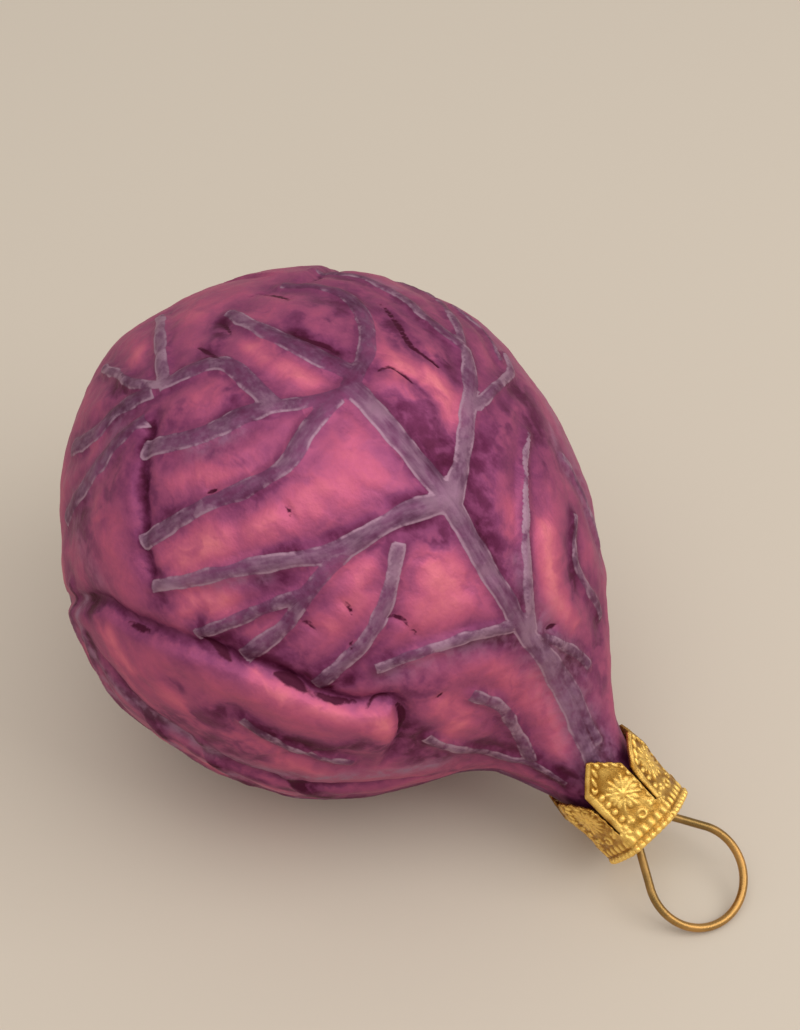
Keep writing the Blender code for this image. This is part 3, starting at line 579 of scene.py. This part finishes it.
head_shape = bmesh.new()
bmesh.ops.create_uvsphere(head_shape, u_segments=HEAD_COLUMNS, v_segments=HEAD_ROWS, radius=1)
ball = np.array([vert.co[:] for vert in head_shape.verts])
from_crown = np.arccos(np.clip(-ball[:, 2], -1, 1)) / np.pi * outline_run[-1]
head_along = np.interp(from_crown, outline_run, half_outline[:, 0])
head_radius = np.interp(from_crown, outline_run, half_outline[:, 1])
head_radius = np.where(from_crown > outline_run[-1] - 1e-6, 0, head_radius)
even_angle = np.arctan2(ball[:, 1], ball[:, 0])
head_angle = even_angle - CROWDING * np.sin(even_angle)
head_x = head_radius * np.cos(head_angle)
head_y = head_radius * np.sin(head_angle) - bow_at(head_along)
plain = np.stack([head_x, head_y, head_along], -1)
lean = np.interp(from_crown, outline_run, outline_slope)
upright = np.sqrt(np.clip(1 - lean**2, 0, 1))
outward = np.stack([np.cos(head_angle) * upright, np.sin(head_angle) * upright, -lean], -1)
height, marks = relief_and_marks(plain)
for lump_size, lump_height in LUMPS:
    height += lump_height * np.array([noise.noise(Vector(point) / lump_size) for point in plain])
# Painted shade, over darker lacquer, on the neck where it runs under the cap
marks["shade_and_pools"] = np.maximum(marks["shade_and_pools"], NECK_PAINTED_SHADE * ease(head_along, *NECK_SHADE))
height *= ease(np.linalg.norm(plain - flat_middle, axis=1), *FLAT_CLEAR)
height *= ease(head_along, *CAP_CLEAR) * ease(head_radius, *CROWN_CLEAR)
layers = {name: head_shape.verts.layers.float.new(name) for name in marks}
for vert, place in zip(head_shape.verts, plain + outward * height[:, None]):
    vert.co = place
for name, layer in layers.items():
    for vert, value in zip(head_shape.verts, marks[name]):
        vert[layer] = value
cap_lean = Matrix.Rotation(-math.radians(CAP_LEAN), 4, "X")
cap_frame = Matrix.Translation((0, 0, CAP_PLACE)) @ cap_lean
neck_cut = cap_frame @ Vector((0, 0, NECK_END))
neck_rim = cut_flat(head_shape, neck_cut, cap_frame.to_3x3() @ Vector((0, 0, 1)))
for depth in BORE_STEPS:
    grown = bmesh.ops.extrude_edge_only(head_shape, edges=neck_rim)["geom"]
    neck_rim = [edge for edge in grown if isinstance(edge, bmesh.types.BMEdge) and edge.is_boundary]
    for vert in (item for item in grown if isinstance(item, bmesh.types.BMVert)):
        turn = math.atan2(vert.co.y + bow_at(vert.co.z), vert.co.x)
        along = CAP_PLACE + NECK_END - depth if depth else vert.co.z
        bore = float(np.interp(along, half_outline[:, 0], half_outline[:, 1])) - WALL
        vert.co = (bore * math.cos(turn), bore * math.sin(turn) - float(bow_at(along)), along)
bmesh.ops.holes_fill(head_shape, edges=neck_rim, sides=0)
head_shape.transform(stand)
resting_flat = cut_flat(head_shape, Vector((0, 0, 0)), Vector((0, 0, -1)))
bmesh.ops.holes_fill(head_shape, edges=resting_flat, sides=0)
bmesh.ops.recalc_face_normals(head_shape, faces=head_shape.faces)
glass = finished_object(head_shape, "glass_cabbage")


def feed(tree, socket, value):
    """Link a value from another node, or set a plain number or colour."""
    if isinstance(value, bpy.types.NodeSocket):
        tree.links.new(value, socket)
    elif isinstance(value, tuple):
        socket.default_value = (*value, 1)
    else:
        socket.default_value = value


def mark(tree, name):
    """A field kept on the mesh."""
    node = tree.nodes.new("ShaderNodeAttribute")
    node.attribute_name = name
    return node.outputs["Fac"]


def ramp(tree, value, low, high, start=0.0, end=1.0):
    """A value eased from start to end, as it goes from low to high."""
    node = tree.nodes.new("ShaderNodeMapRange")
    node.interpolation_type = "SMOOTHSTEP"
    sockets = ("Value", "From Min", "From Max", "To Min", "To Max")
    for socket, item in zip(sockets, (value, low, high, start, end)):
        feed(tree, node.inputs[socket], item)
    return node.outputs["Result"]


def calc(tree, kind, *values):
    """One Math node."""
    node = tree.nodes.new("ShaderNodeMath")
    node.operation = kind
    for socket, value in zip(node.inputs, values):
        feed(tree, socket, value)
    return node.outputs["Value"]


def add_up(tree, total, *parts):
    """A start value with each part added in by its weight."""
    for value, weight in parts:
        total = calc(tree, "MULTIPLY_ADD", value, weight, total)
    return total


def mix(tree, amount, under, over):
    """One colour laid over another by an amount from 0 to 1."""
    node = tree.nodes.new("ShaderNodeMix")
    node.data_type = "RGBA"
    for socket, value in (("Factor", amount), ("A", under), ("B", over)):
        feed(tree, node.inputs[socket], value)
    return node.outputs["Result"]


def colour_scale(tree, value, stops):
    """A colour for each value from 0 to 1, through the given stops."""
    node = tree.nodes.new("ShaderNodeValToRGB")
    scale = node.color_ramp.elements
    scale[0].position, scale[0].color = stops[0][0], (*stops[0][1], 1)
    scale[1].position, scale[1].color = stops[-1][0], (*stops[-1][1], 1)
    for place, colour in stops[1:-1]:
        scale.new(place).color = (*colour, 1)
    feed(tree, node.inputs["Fac"], value)
    return node.outputs["Color"]


def grain(tree, place, size, detail=3.0, roughness=0.5, distortion=0.0):
    """Noise with patches of about this size in millimetres, spread over -1 to 1."""
    node = tree.nodes.new("ShaderNodeTexNoise")
    for name, value in (("Vector", place), ("Scale", 1 / (size * MM)), ("Detail", detail)):
        feed(tree, node.inputs[name], value)
    node.inputs["Roughness"].default_value = roughness
    node.inputs["Distortion"].default_value = distortion
    return ramp(tree, node.outputs["Fac"], 0.28, 0.72, -1.0, 1.0)


# The lacquer's colours from its darkest, in pools and painted shade, to its brightest, thin over the silver
# and in painted highlight, and the paints on it
LACQUER_TONES = (
    (0.0, (0.066, 0.003, 0.026)), (0.16, (0.128, 0.017, 0.068)), (0.32, (0.222, 0.045, 0.128)),
    (0.48, (0.360, 0.078, 0.175)), (0.64, (0.495, 0.104, 0.200)), (0.80, (0.620, 0.145, 0.228)),
    (1.0, (0.780, 0.225, 0.265)),
)
PALE_WASH_AND_SHEEN = (0.320, 0.165, 0.262)
VEIN_PAINT_THIN, VEIN_PAINT_THICK = (0.165, 0.070, 0.145), (0.330, 0.185, 0.268)
VEIN_PAINT_RIM = (0.410, 0.240, 0.325)
CRACK_COLOUR = (0.070, 0.004, 0.026)
BRISTLE_STRETCH = 0.25  # the marks of the bristles run along a vein
lacquer = bpy.data.materials.new("purple_lacquer_over_silver")
lacquer.use_nodes = True
tree = lacquer.node_tree
shader = tree.nodes["Principled BSDF"]
shader.inputs["Metallic"].default_value = 0.55
shader.inputs["Specular IOR Level"].default_value = 0.25
shader.inputs["Specular Tint"].default_value = (0.85, 0.66, 0.66, 1)
shader.inputs["Coat Weight"].default_value = 0.06
shader.inputs["Coat Roughness"].default_value = 0.28
own_place = tree.nodes.new("ShaderNodeMapping")
own_place.vector_type = "TEXTURE"
own_place.inputs["Location"].default_value = HEAD_MIDDLE
own_place.inputs["Rotation"].default_value = lay_down.to_euler()
own_place.inputs["Scale"].default_value = (1, 1, 1.2)
tree.links.new(tree.nodes.new("ShaderNodeTexCoord").outputs["Object"], own_place.inputs["Vector"])
own = own_place.outputs["Vector"]
# Unevenness from clouds down to specks, the wander of a vein's edge, and marks of the bristles
cloud = grain(tree, own, 7.0, 2, 0.5, 0.4)
blotch = grain(tree, own, 2.8, 2, 0.5, 0.8)
mottle = grain(tree, own, 1.0, 3, 0.55)
speck = grain(tree, own, 0.34, 3, 0.6)
wobble = grain(tree, own, 3.4, 1)
brush_place = tree.nodes.new("ShaderNodeCombineXYZ")
feed(tree, brush_place.inputs["X"], mark(tree, "brush_across"))
along_brush = calc(tree, "MULTIPLY", mark(tree, "brush_along"), BRISTLE_STRETCH)
feed(tree, brush_place.inputs["Y"], along_brush)
bristle = grain(tree, brush_place.outputs["Vector"], 0.5, 2)
vein = add_up(tree, mark(tree, "vein"), (wobble, 0.14), (blotch, 0.04), (mottle, 0.02))
# Painted shade along the sides of the raised veins
shade_beside_vein = calc(tree, "MULTIPLY", ramp(tree, vein, -1.3, -0.1), ramp(tree, blotch, -0.2, 0.7))
inside_vein = ramp(tree, vein, -0.08, 0.08)
# Painted shade in the groove at the foot of each leaf edge
edge = add_up(tree, mark(tree, "edge"), (mottle, 0.15))
shade_in_leaf_groove = calc(tree, "MULTIPLY", ramp(tree, edge, 0.9, 0.1), ramp(tree, blotch, -0.7, 0.5, 0.35, 1.0))
# Painted highlights, broken up by the blotches
painted_highlight = calc(tree, "MULTIPLY", mark(tree, "painted_highlight"), ramp(tree, blotch, -0.9, 0.3, 0.75, 1.05))
# Painted shade and pooled lacquer, broken into patches
shade_and_pool_patches = ramp(tree, add_up(tree, blotch, (mottle, 0.5)), 0.9, -0.9, 0.5, 1.15)
shade_and_pools = calc(tree, "MULTIPLY", mark(tree, "shade_and_pools"), shade_and_pool_patches)
# Painted highlight where the panels swell and along the rolled rim, painted shade where the panels sink
# toward the veins
tone = add_up(
    tree, 0.46,
    (painted_highlight, 0.38), (shade_and_pools, -0.36), (mark(tree, "rim"), 0.04),
    (ramp(tree, mark(tree, "pillow"), 0.0, 1.0, -1.0, 1.0), 0.07),
    (cloud, 0.05), (blotch, 0.05), (mottle, 0.028), (speck, 0.022),
    (shade_beside_vein, -0.15), (shade_in_leaf_groove, -0.24), (inside_vein, -0.15),
)
body = colour_scale(tree, tone, LACQUER_TONES)
# Pale paint washes, and the painted sheen along the outline
watery = ramp(tree, add_up(tree, mottle, (blotch, 0.8)), -1.2, 1.2, 0.2, 1.0)
body = mix(tree, calc(tree, "MULTIPLY", mark(tree, "wash_and_sheen"), watery), body, PALE_WASH_AND_SHEEN)
paint_pale = add_up(
    tree, -0.05,
    (mark(tree, "pale"), 0.85), (blotch, 0.22), (bristle, 0.20), (mottle, 0.08), (speck, 0.05),
)
brushed = mix(tree, ramp(tree, paint_pale, 0.0, 1.1), VEIN_PAINT_THIN, VEIN_PAINT_THICK)
cover = calc(tree, "MULTIPLY", inside_vein, ramp(tree, paint_pale, -0.7, 0.8, 0.0, 0.72))
body = mix(tree, cover, body, brushed)
rim_line = calc(tree, "MULTIPLY", ramp(tree, vein, -0.06, 0.04), ramp(tree, vein, 0.30, 0.12))
across_brush = mark(tree, "brush_across")
broken = add_up(tree, mark(tree, "pale"), (blotch, 0.45), (mottle, 0.35), (across_brush, 0.25 / MM))
rim_paint = calc(tree, "MULTIPLY", rim_line, ramp(tree, broken, 0.1, 1.0, 0.0, 0.8))
body = mix(tree, rim_paint, body, VEIN_PAINT_RIM)
crack = add_up(tree, mark(tree, "crack"), (mottle, 0.05), (speck, 0.015))
body = mix(tree, ramp(tree, crack, 0.10, -0.08), body, CRACK_COLOUR)
feed(tree, shader.inputs["Base Color"], body)
satin = add_up(tree, 0.54, (blotch, 0.05), (speck, 0.04), (cover, 0.06))
feed(tree, shader.inputs["Roughness"], satin)
bump = tree.nodes.new("ShaderNodeBump")
bump.inputs["Distance"].default_value = 0.12 * MM
bump.inputs["Strength"].default_value = 0.3
uneven = add_up(tree, 0.0, (blotch, 0.4), (mottle, 0.4), (speck, 0.15), (cover, 0.15))
feed(tree, bump.inputs["Height"], uneven)
tree.links.new(bump.outputs["Normal"], shader.inputs["Normal"])
glass.data.materials.append(lacquer)
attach(glass, "root")
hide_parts("glass_body")

# Crown cap
# A stamped sheet of gold-plated brass, drawn to six sides with a flared, pointed tab on each.
# It is pushed over the neck and held down by the hanger. The stamp left a row of beads inside
# the edge of each tab, a star of eight rays, rings and rosettes, and a beaded rim at the end.
CAP_HEIGHT = 9.34
CAP_APOTHEM = 4.85
CAP_TAPER = 0.025
CAP_SHEET = 0.38
SIDE_CROWN = 0.22
BAND = 2.5  # depth of the closed band under the end plate
TAB_POINT = 2.7  # how far the point of a tab runs past its shoulders
TAB_CURVE = 1.15
TAB_HALF = 2.72
# Pressed on by hand, each tab reaches its own way past the line of the tips
TAB_DROPS = (-1.6, 0.0, -0.6, -0.9, -0.6, -0.5)
TAB_FLARE = 1.0
FLARE_START = 5.5
TAB_GAP = 0.2
SIDES = 6
LEG_APART = 2.15
HOLE_RADIUS = 0.95
RING_TURN = -110.0
CAP_TOP = CAP_HEIGHT - 0.3
COLUMNS, ROWS, BAND_ROWS = 60, 96, 24
# End plate, from the band inward: size of the ring of corners, and its place
PLATE_STEPS = (
    (0.985, CAP_TOP + 0.14), (0.955, CAP_TOP + 0.25), (0.91, CAP_HEIGHT), (0.45, CAP_HEIGHT),
)
# The stamped pattern of one side, in millimetres from its middle line and from the tips
STAMP_SHIFT = -0.6
TIP_SLANT = 0.72  # a step along the axis, measured square to the tab's slanting edge
TIP_RUN = 1.42  # a step across, measured along that edge
BEAD_INSET = 0.6
BEAD_LINE = 2.03
BEAD_PITCH = 1.04
BEAD = (0.37, 0.27)
BEADS_END = (6.3, 5.9)
STAR_PLACE = 3.5
STAR_RAYS = 8
STAR_TURN = math.radians(10)
STAR_REACH = (2.3, 1.7)
RING_MARK = (6.5, 0.44)  # place and radius of the small open ring
ROSETTES = ((2.84, 6.75, 5, 0.46), (1.45, 6.2, 3, 0.3))  # across, along, petals and size
BAR_PITCH, BAR_PLACE = 0.94, 7.85
GROOVE_PLACE = 8.42
RIM_PITCH, RIM_PLACE, RIM_BEAD = 0.8, 8.94, 0.42


def dome(distance, radius, height):
    """A round bead."""
    return height * np.sqrt(np.clip(1 - (distance / radius) ** 2, 0, None))


def ridge(distance, width, height):
    """A soft raised line, or a sunk one."""
    return height * np.exp(-((distance / width) ** 2))


def stamped(across_mm, along, half, drop):
    """The stamped pattern of one side, in millimetres outward."""
    x = across_mm - STAMP_SHIFT
    far = np.abs(x)
    tip_gap = (along - drop - TAB_POINT * (far / half) ** TAB_CURVE) * TIP_SLANT - BEAD_INSET
    side_gap = BEAD_LINE - far
    on_tip = tip_gap < side_gap
    gap = np.where(on_tip, tip_gap, side_gap)
    row = np.where(on_tip, far * TIP_RUN, along - drop + 0.2)
    step = row - BEAD_PITCH * np.round(row / BEAD_PITCH)
    on_tab = ease(along, *BEADS_END)
    pattern = dome(np.hypot(gap, step), *BEAD) * on_tab
    pattern += 0.1 * ease(gap, -0.42, -0.62) * on_tab
    pattern -= 0.07 * np.exp(-(((gap - 0.1) / 0.45) ** 2)) * on_tab
    radius = np.hypot(x, along - STAR_PLACE)
    turn = np.arctan2(along - STAR_PLACE, x) - STAR_TURN
    sector = math.tau / STAR_RAYS
    from_ray = turn - sector * np.round(turn / sector)
    star = ease(radius, *STAR_REACH) * ease(gap, 0.2, 0.5)
    pattern += star * ridge(radius * np.sin(from_ray), 0.15, 0.17)
    leaf = np.hypot((radius - 1.25) / 0.62, radius * np.sin(np.abs(from_ray) - 0.5 * sector) / 0.3)
    pattern += star * dome(leaf, 1.0, 0.13)
    pattern += ridge(radius, 0.3, 0.12)
    ring_place, ring_radius = RING_MARK
    ring_turn = np.arctan2(along - ring_place, x)
    ring_gap = 1 - 0.85 * np.exp(-(((ring_turn + 0.5) / 0.45) ** 2))
    pattern += ridge(np.hypot(x, along - ring_place) - ring_radius, 0.14, 0.2) * ring_gap
    for hand in (-1, 1):
        for middle, place, lobes, size in ROSETTES:
            beside = x - hand * middle
            up = along - place
            away = np.hypot(beside, up)
            petals = 0.55 + 0.45 * np.cos(lobes * np.arctan2(up, beside * hand))
            pattern += ridge(away - size, 0.5 * size, 0.19) * petals + ridge(away, 0.2, 0.14)
    bar = x - BAR_PITCH * np.round(x / BAR_PITCH)
    pattern += ridge(bar, 0.24, 0.2) * np.exp(-(((along - BAR_PLACE) / 0.46) ** 4))
    pattern += ridge(along - GROOVE_PLACE, 0.1, -0.06)
    rim_step = x - RIM_PITCH * np.round(x / RIM_PITCH)
    pattern += dome(np.hypot(along - RIM_PLACE, rim_step), RIM_BEAD, RIM_BEAD)
    return pattern


cap_shape = bmesh.new()
bmesh.ops.create_grid(cap_shape, x_segments=COLUMNS, y_segments=ROWS, size=1)
one_side = cap_shape.verts[:] + cap_shape.edges[:] + cap_shape.faces[:]
bmesh.ops.spin(
    cap_shape, geom=one_side, cent=(0, 0, 0), axis=(0, 0, 1),
    dvec=(0, 0, 1), angle=0, steps=SIDES - 1, use_duplicate=True,
)
flat = np.array([vert.co[:] for vert in cap_shape.verts])
side_number = np.round(flat[:, 2]).astype(int)
across = flat[:, 0]
row = np.round((1 - flat[:, 1]) * 0.5 * ROWS)
in_band = row <= BAND_ROWS
drop = np.array(TAB_DROPS)[side_number]
tip = TAB_POINT * np.abs(across) ** TAB_CURVE + drop
along = np.where(
    in_band,
    CAP_TOP - BAND * row / BAND_ROWS,
    CAP_TOP - BAND + (tip - CAP_TOP + BAND) * (row - BAND_ROWS) / (ROWS - BAND_ROWS),
)
flare = TAB_FLARE * np.clip((FLARE_START - along) / FLARE_START, 0, None) ** 2
apothem = CAP_APOTHEM + CAP_TAPER * (CAP_TOP - along) + flare
half = apothem * math.tan(math.pi / SIDES)
half = np.where(in_band, half, np.minimum(half - TAB_GAP, TAB_HALF))
sheet_gap = np.where(in_band, 1, np.minimum((along - tip) * TIP_SLANT, half * (1 - np.abs(across))))
stamp = stamped(across * half, along, half, drop)
stamp = stamp * (1 - 0.7 * np.abs(across) ** 10) * ease(sheet_gap, 0, 0.32)
out = apothem + SIDE_CROWN * (1 - across**2) + stamp
side_turn = side_number * math.tau / SIDES
stamp_layer = cap_shape.verts.layers.float.new("stamp")
places = np.stack([out, across * half, along], -1)
for vert, place, turn, value in zip(cap_shape.verts, places, side_turn, stamp):
    grit = noise.noise(Vector(place) * 1.4 + Vector((0, 0, 20 * turn))) * 0.05
    vert.co = Matrix.Rotation(turn, 3, "Z") @ Vector((place[0] + grit, place[1], place[2]))
    vert[stamp_layer] = value + grit
bmesh.ops.remove_doubles(cap_shape, verts=cap_shape.verts, dist=0.02)
top_edges = [
    edge for edge in cap_shape.edges
    if edge.is_boundary and all(vert.co.z > CAP_TOP - 0.01 for vert in edge.verts)
]
last_scale = 1
for scale, plate_place in PLATE_STEPS:
    grown = bmesh.ops.extrude_edge_only(cap_shape, edges=top_edges)["geom"]
    for vert in (item for item in grown if isinstance(item, bmesh.types.BMVert)):
        vert.co.x = vert.co.x * scale / last_scale
        vert.co.y = vert.co.y * scale / last_scale
        vert.co.z = plate_place
    last_scale = scale
    top_edges = [edge for edge in grown if isinstance(edge, bmesh.types.BMEdge) and edge.is_boundary]
bmesh.ops.holes_fill(cap_shape, edges=top_edges, sides=0)
bmesh.ops.recalc_face_normals(cap_shape, faces=cap_shape.faces)
cap_shape.transform(stand @ cap_frame)
cap = finished_object(cap_shape, "crown_cap")
sheet = cap.modifiers.new("Sheet", "SOLIDIFY")
sheet.thickness = CAP_SHEET * MM
sheet.offset = -1
ring_angle = math.radians(RING_TURN)
ring_across = Vector((math.cos(ring_angle), math.sin(ring_angle), 0))
hole_shape = bmesh.new()
for hand in (-1, 1):
    bmesh.ops.create_cone(
        hole_shape, cap_ends=True, segments=32, radius1=HOLE_RADIUS, radius2=HOLE_RADIUS, depth=2.4,
        matrix=Matrix.Translation(ring_across * hand * LEG_APART + Vector((0, 0, CAP_HEIGHT))),
    )
hole_shape.transform(stand @ cap_frame)
holes = finished_object(hole_shape, "leg_holes", smooth=False)
cut = cap.modifiers.new("Leg holes", "BOOLEAN")
cut.solver = "EXACT"
cut.object = holes
cap_now = cap.evaluated_get(bpy.context.evaluated_depsgraph_get())
pierced = bpy.data.meshes.new_from_object(cap_now)
cap.modifiers.clear()
cap.data = pierced
bpy.data.objects.remove(holes)

# Plating that runs from a dark colour to a light one by a relief value, with tarnished patches, for the cap
# and the wire
plate_finish = bpy.data.node_groups.new("plating_by_relief", "ShaderNodeTree")
sockets = (
    ("Low", "INPUT", "NodeSocketColor"), ("High", "INPUT", "NodeSocketColor"),
    ("Relief", "INPUT", "NodeSocketFloat"), ("Patch Scale", "INPUT", "NodeSocketFloat"),
    ("Gloss", "INPUT", "NodeSocketFloat"), ("Color", "OUTPUT", "NodeSocketColor"),
    ("Roughness", "OUTPUT", "NodeSocketFloat"), ("Height", "OUTPUT", "NodeSocketFloat"),
)
for name, way, kind in sockets:
    plate_finish.interface.new_socket(name, in_out=way, socket_type=kind)
given = plate_finish.nodes.new("NodeGroupInput").outputs
result = plate_finish.nodes.new("NodeGroupOutput").inputs
metal_place = plate_finish.nodes.new("ShaderNodeTexCoord").outputs["Object"]
patch = plate_finish.nodes.new("ShaderNodeTexNoise")
feed(plate_finish, patch.inputs["Vector"], metal_place)
feed(plate_finish, patch.inputs["Scale"], given["Patch Scale"])
patch.inputs["Detail"].default_value = 4
tarnish = ramp(plate_finish, patch.outputs["Fac"], 0.3, 0.7, -1.0, 1.0)
fine = grain(plate_finish, metal_place, 0.14, 3, 0.6)
lift = add_up(plate_finish, given["Relief"], (tarnish, 0.18), (fine, 0.06))
relief_colour = mix(plate_finish, ramp(plate_finish, lift, 0.0, 1.0), given["Low"], given["High"])
dulled = add_up(plate_finish, given["Gloss"], (tarnish, 0.05), (fine, 0.06))
feed(plate_finish, result["Color"], relief_colour)
feed(plate_finish, result["Roughness"], dulled)
feed(plate_finish, result["Height"], add_up(plate_finish, 0.5, (fine, 0.4), (tarnish, 0.3)))


def plated_metal(name, low, high, relief, patch_scale, gloss, bump_height):
    """A metal material with the plating in it, its colour set by the given relief. The relief is made in
    the material's tree.
    """
    material = bpy.data.materials.new(name)
    material.use_nodes = True
    tree = material.node_tree
    shader = tree.nodes["Principled BSDF"]
    finish = tree.nodes.new("ShaderNodeGroup")
    finish.node_tree = plate_finish
    values = (("Low", low), ("High", high), ("Patch Scale", patch_scale), ("Gloss", gloss))
    for socket, value in values:
        feed(tree, finish.inputs[socket], value)
    feed(tree, finish.inputs["Relief"], relief(tree))
    bump = tree.nodes.new("ShaderNodeBump")
    bump.inputs["Distance"].default_value = bump_height * MM
    tree.links.new(finish.outputs["Height"], bump.inputs["Height"])
    tree.links.new(finish.outputs["Color"], shader.inputs["Base Color"])
    tree.links.new(finish.outputs["Roughness"], shader.inputs["Roughness"])
    tree.links.new(bump.outputs["Normal"], shader.inputs["Normal"])
    shader.inputs["Metallic"].default_value = 0.9
    return material


# On the cap the colour is lighter on the raised stamping and darker in its hollows: painted highlight and
# painted shade, with wear of the plating
gold = plated_metal(
    "gold_plate", low=(0.36, 0.155, 0.016), high=(1.0, 0.65, 0.17),
    relief=lambda tree: ramp(tree, mark(tree, "stamp"), -0.08, 0.20, 0.2, 1.0),
    patch_scale=500, gloss=0.27, bump_height=0.03,
)
cap.data.materials.append(gold)
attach(cap, "root")
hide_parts("metal_cap")

# Hanger
# Drawn brass wire bent to a ring, its two legs pushed through the end plate of the cap. They
# spring apart inside the neck, which holds cap and hanger on the glass.
WIRE_RADIUS = 0.47
RING_RADIUS = 5.55
RING_PLACE = 16.45  # the ring's middle, from the line of the tips
RING_SWEEP = 120.7  # the ring is round this far to each side of its far end
RING_POINTS = 121
# One leg, from inside the neck to the ring: place beside the cap's axis and along it
leg = [
    (4.0, -4.6), (3.7, -3.4), (3.0, -1.0), (2.4, 1.2), (1.95, 3.4), (1.7, 5.6), (1.65, 7.3),
    (1.82, 8.5), (LEG_APART, 9.2), (2.81, 10.32), (3.53, 11.52), (4.19, 12.64),
]
leg = [tuple(point) for point in smooth_points(leg, 6)]
ring_route = []
for degrees in np.linspace(-RING_SWEEP, RING_SWEEP, RING_POINTS):
    turn = math.radians(degrees)
    ring_route.append((RING_RADIUS * math.sin(turn), RING_PLACE + RING_RADIUS * math.cos(turn)))
wire_route = [(-side, along) for side, along in leg] + ring_route + list(reversed(leg))
wire_curve = bpy.data.curves.new("hanger", "CURVE")
wire_curve.dimensions = "3D"
wire_curve.bevel_depth = WIRE_RADIUS
wire_curve.bevel_resolution = 6
wire_curve.use_fill_caps = True
wire_line = wire_curve.splines.new("POLY")
wire_line.points.add(len(wire_route) - 1)
for point, (sideways, along) in zip(wire_line.points, wire_route):
    point.co = (*(ring_across * sideways + Vector((0, 0, along))), 1)
guide = bpy.data.objects.new("hanger_guide", wire_curve)
bpy.context.scene.collection.objects.link(guide)
wire_now = guide.evaluated_get(bpy.context.evaluated_depsgraph_get())
wire_mesh = bpy.data.meshes.new_from_object(wire_now)
bpy.data.objects.remove(guide)
wire_shape = bmesh.new()
wire_shape.from_mesh(wire_mesh)
bmesh.ops.remove_doubles(wire_shape, verts=wire_shape.verts, dist=0.0001)
tip_layer = wire_shape.verts.layers.float.new("tip")
for vert in wire_shape.verts:
    vert[tip_layer] = vert.co.z / (RING_PLACE + RING_RADIUS)
wire_shape.transform(stand @ cap_frame)
bmesh.ops.recalc_face_normals(wire_shape, faces=wire_shape.faces)
hanger = finished_object(wire_shape, "hanger_ring")
# On the wire the colour runs lighter toward the far end of the ring
brass = plated_metal(
    "bronze_toned_wire", low=(0.20, 0.125, 0.04), high=(0.52, 0.28, 0.085),
    relief=lambda tree: ramp(tree, mark(tree, "tip"), 0.5, 1.0, 0.3, 0.75),
    patch_scale=350, gloss=0.33, bump_height=0.008,
)
hanger.data.materials.append(brass)
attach(hanger, "root")
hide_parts("hanger_wire")
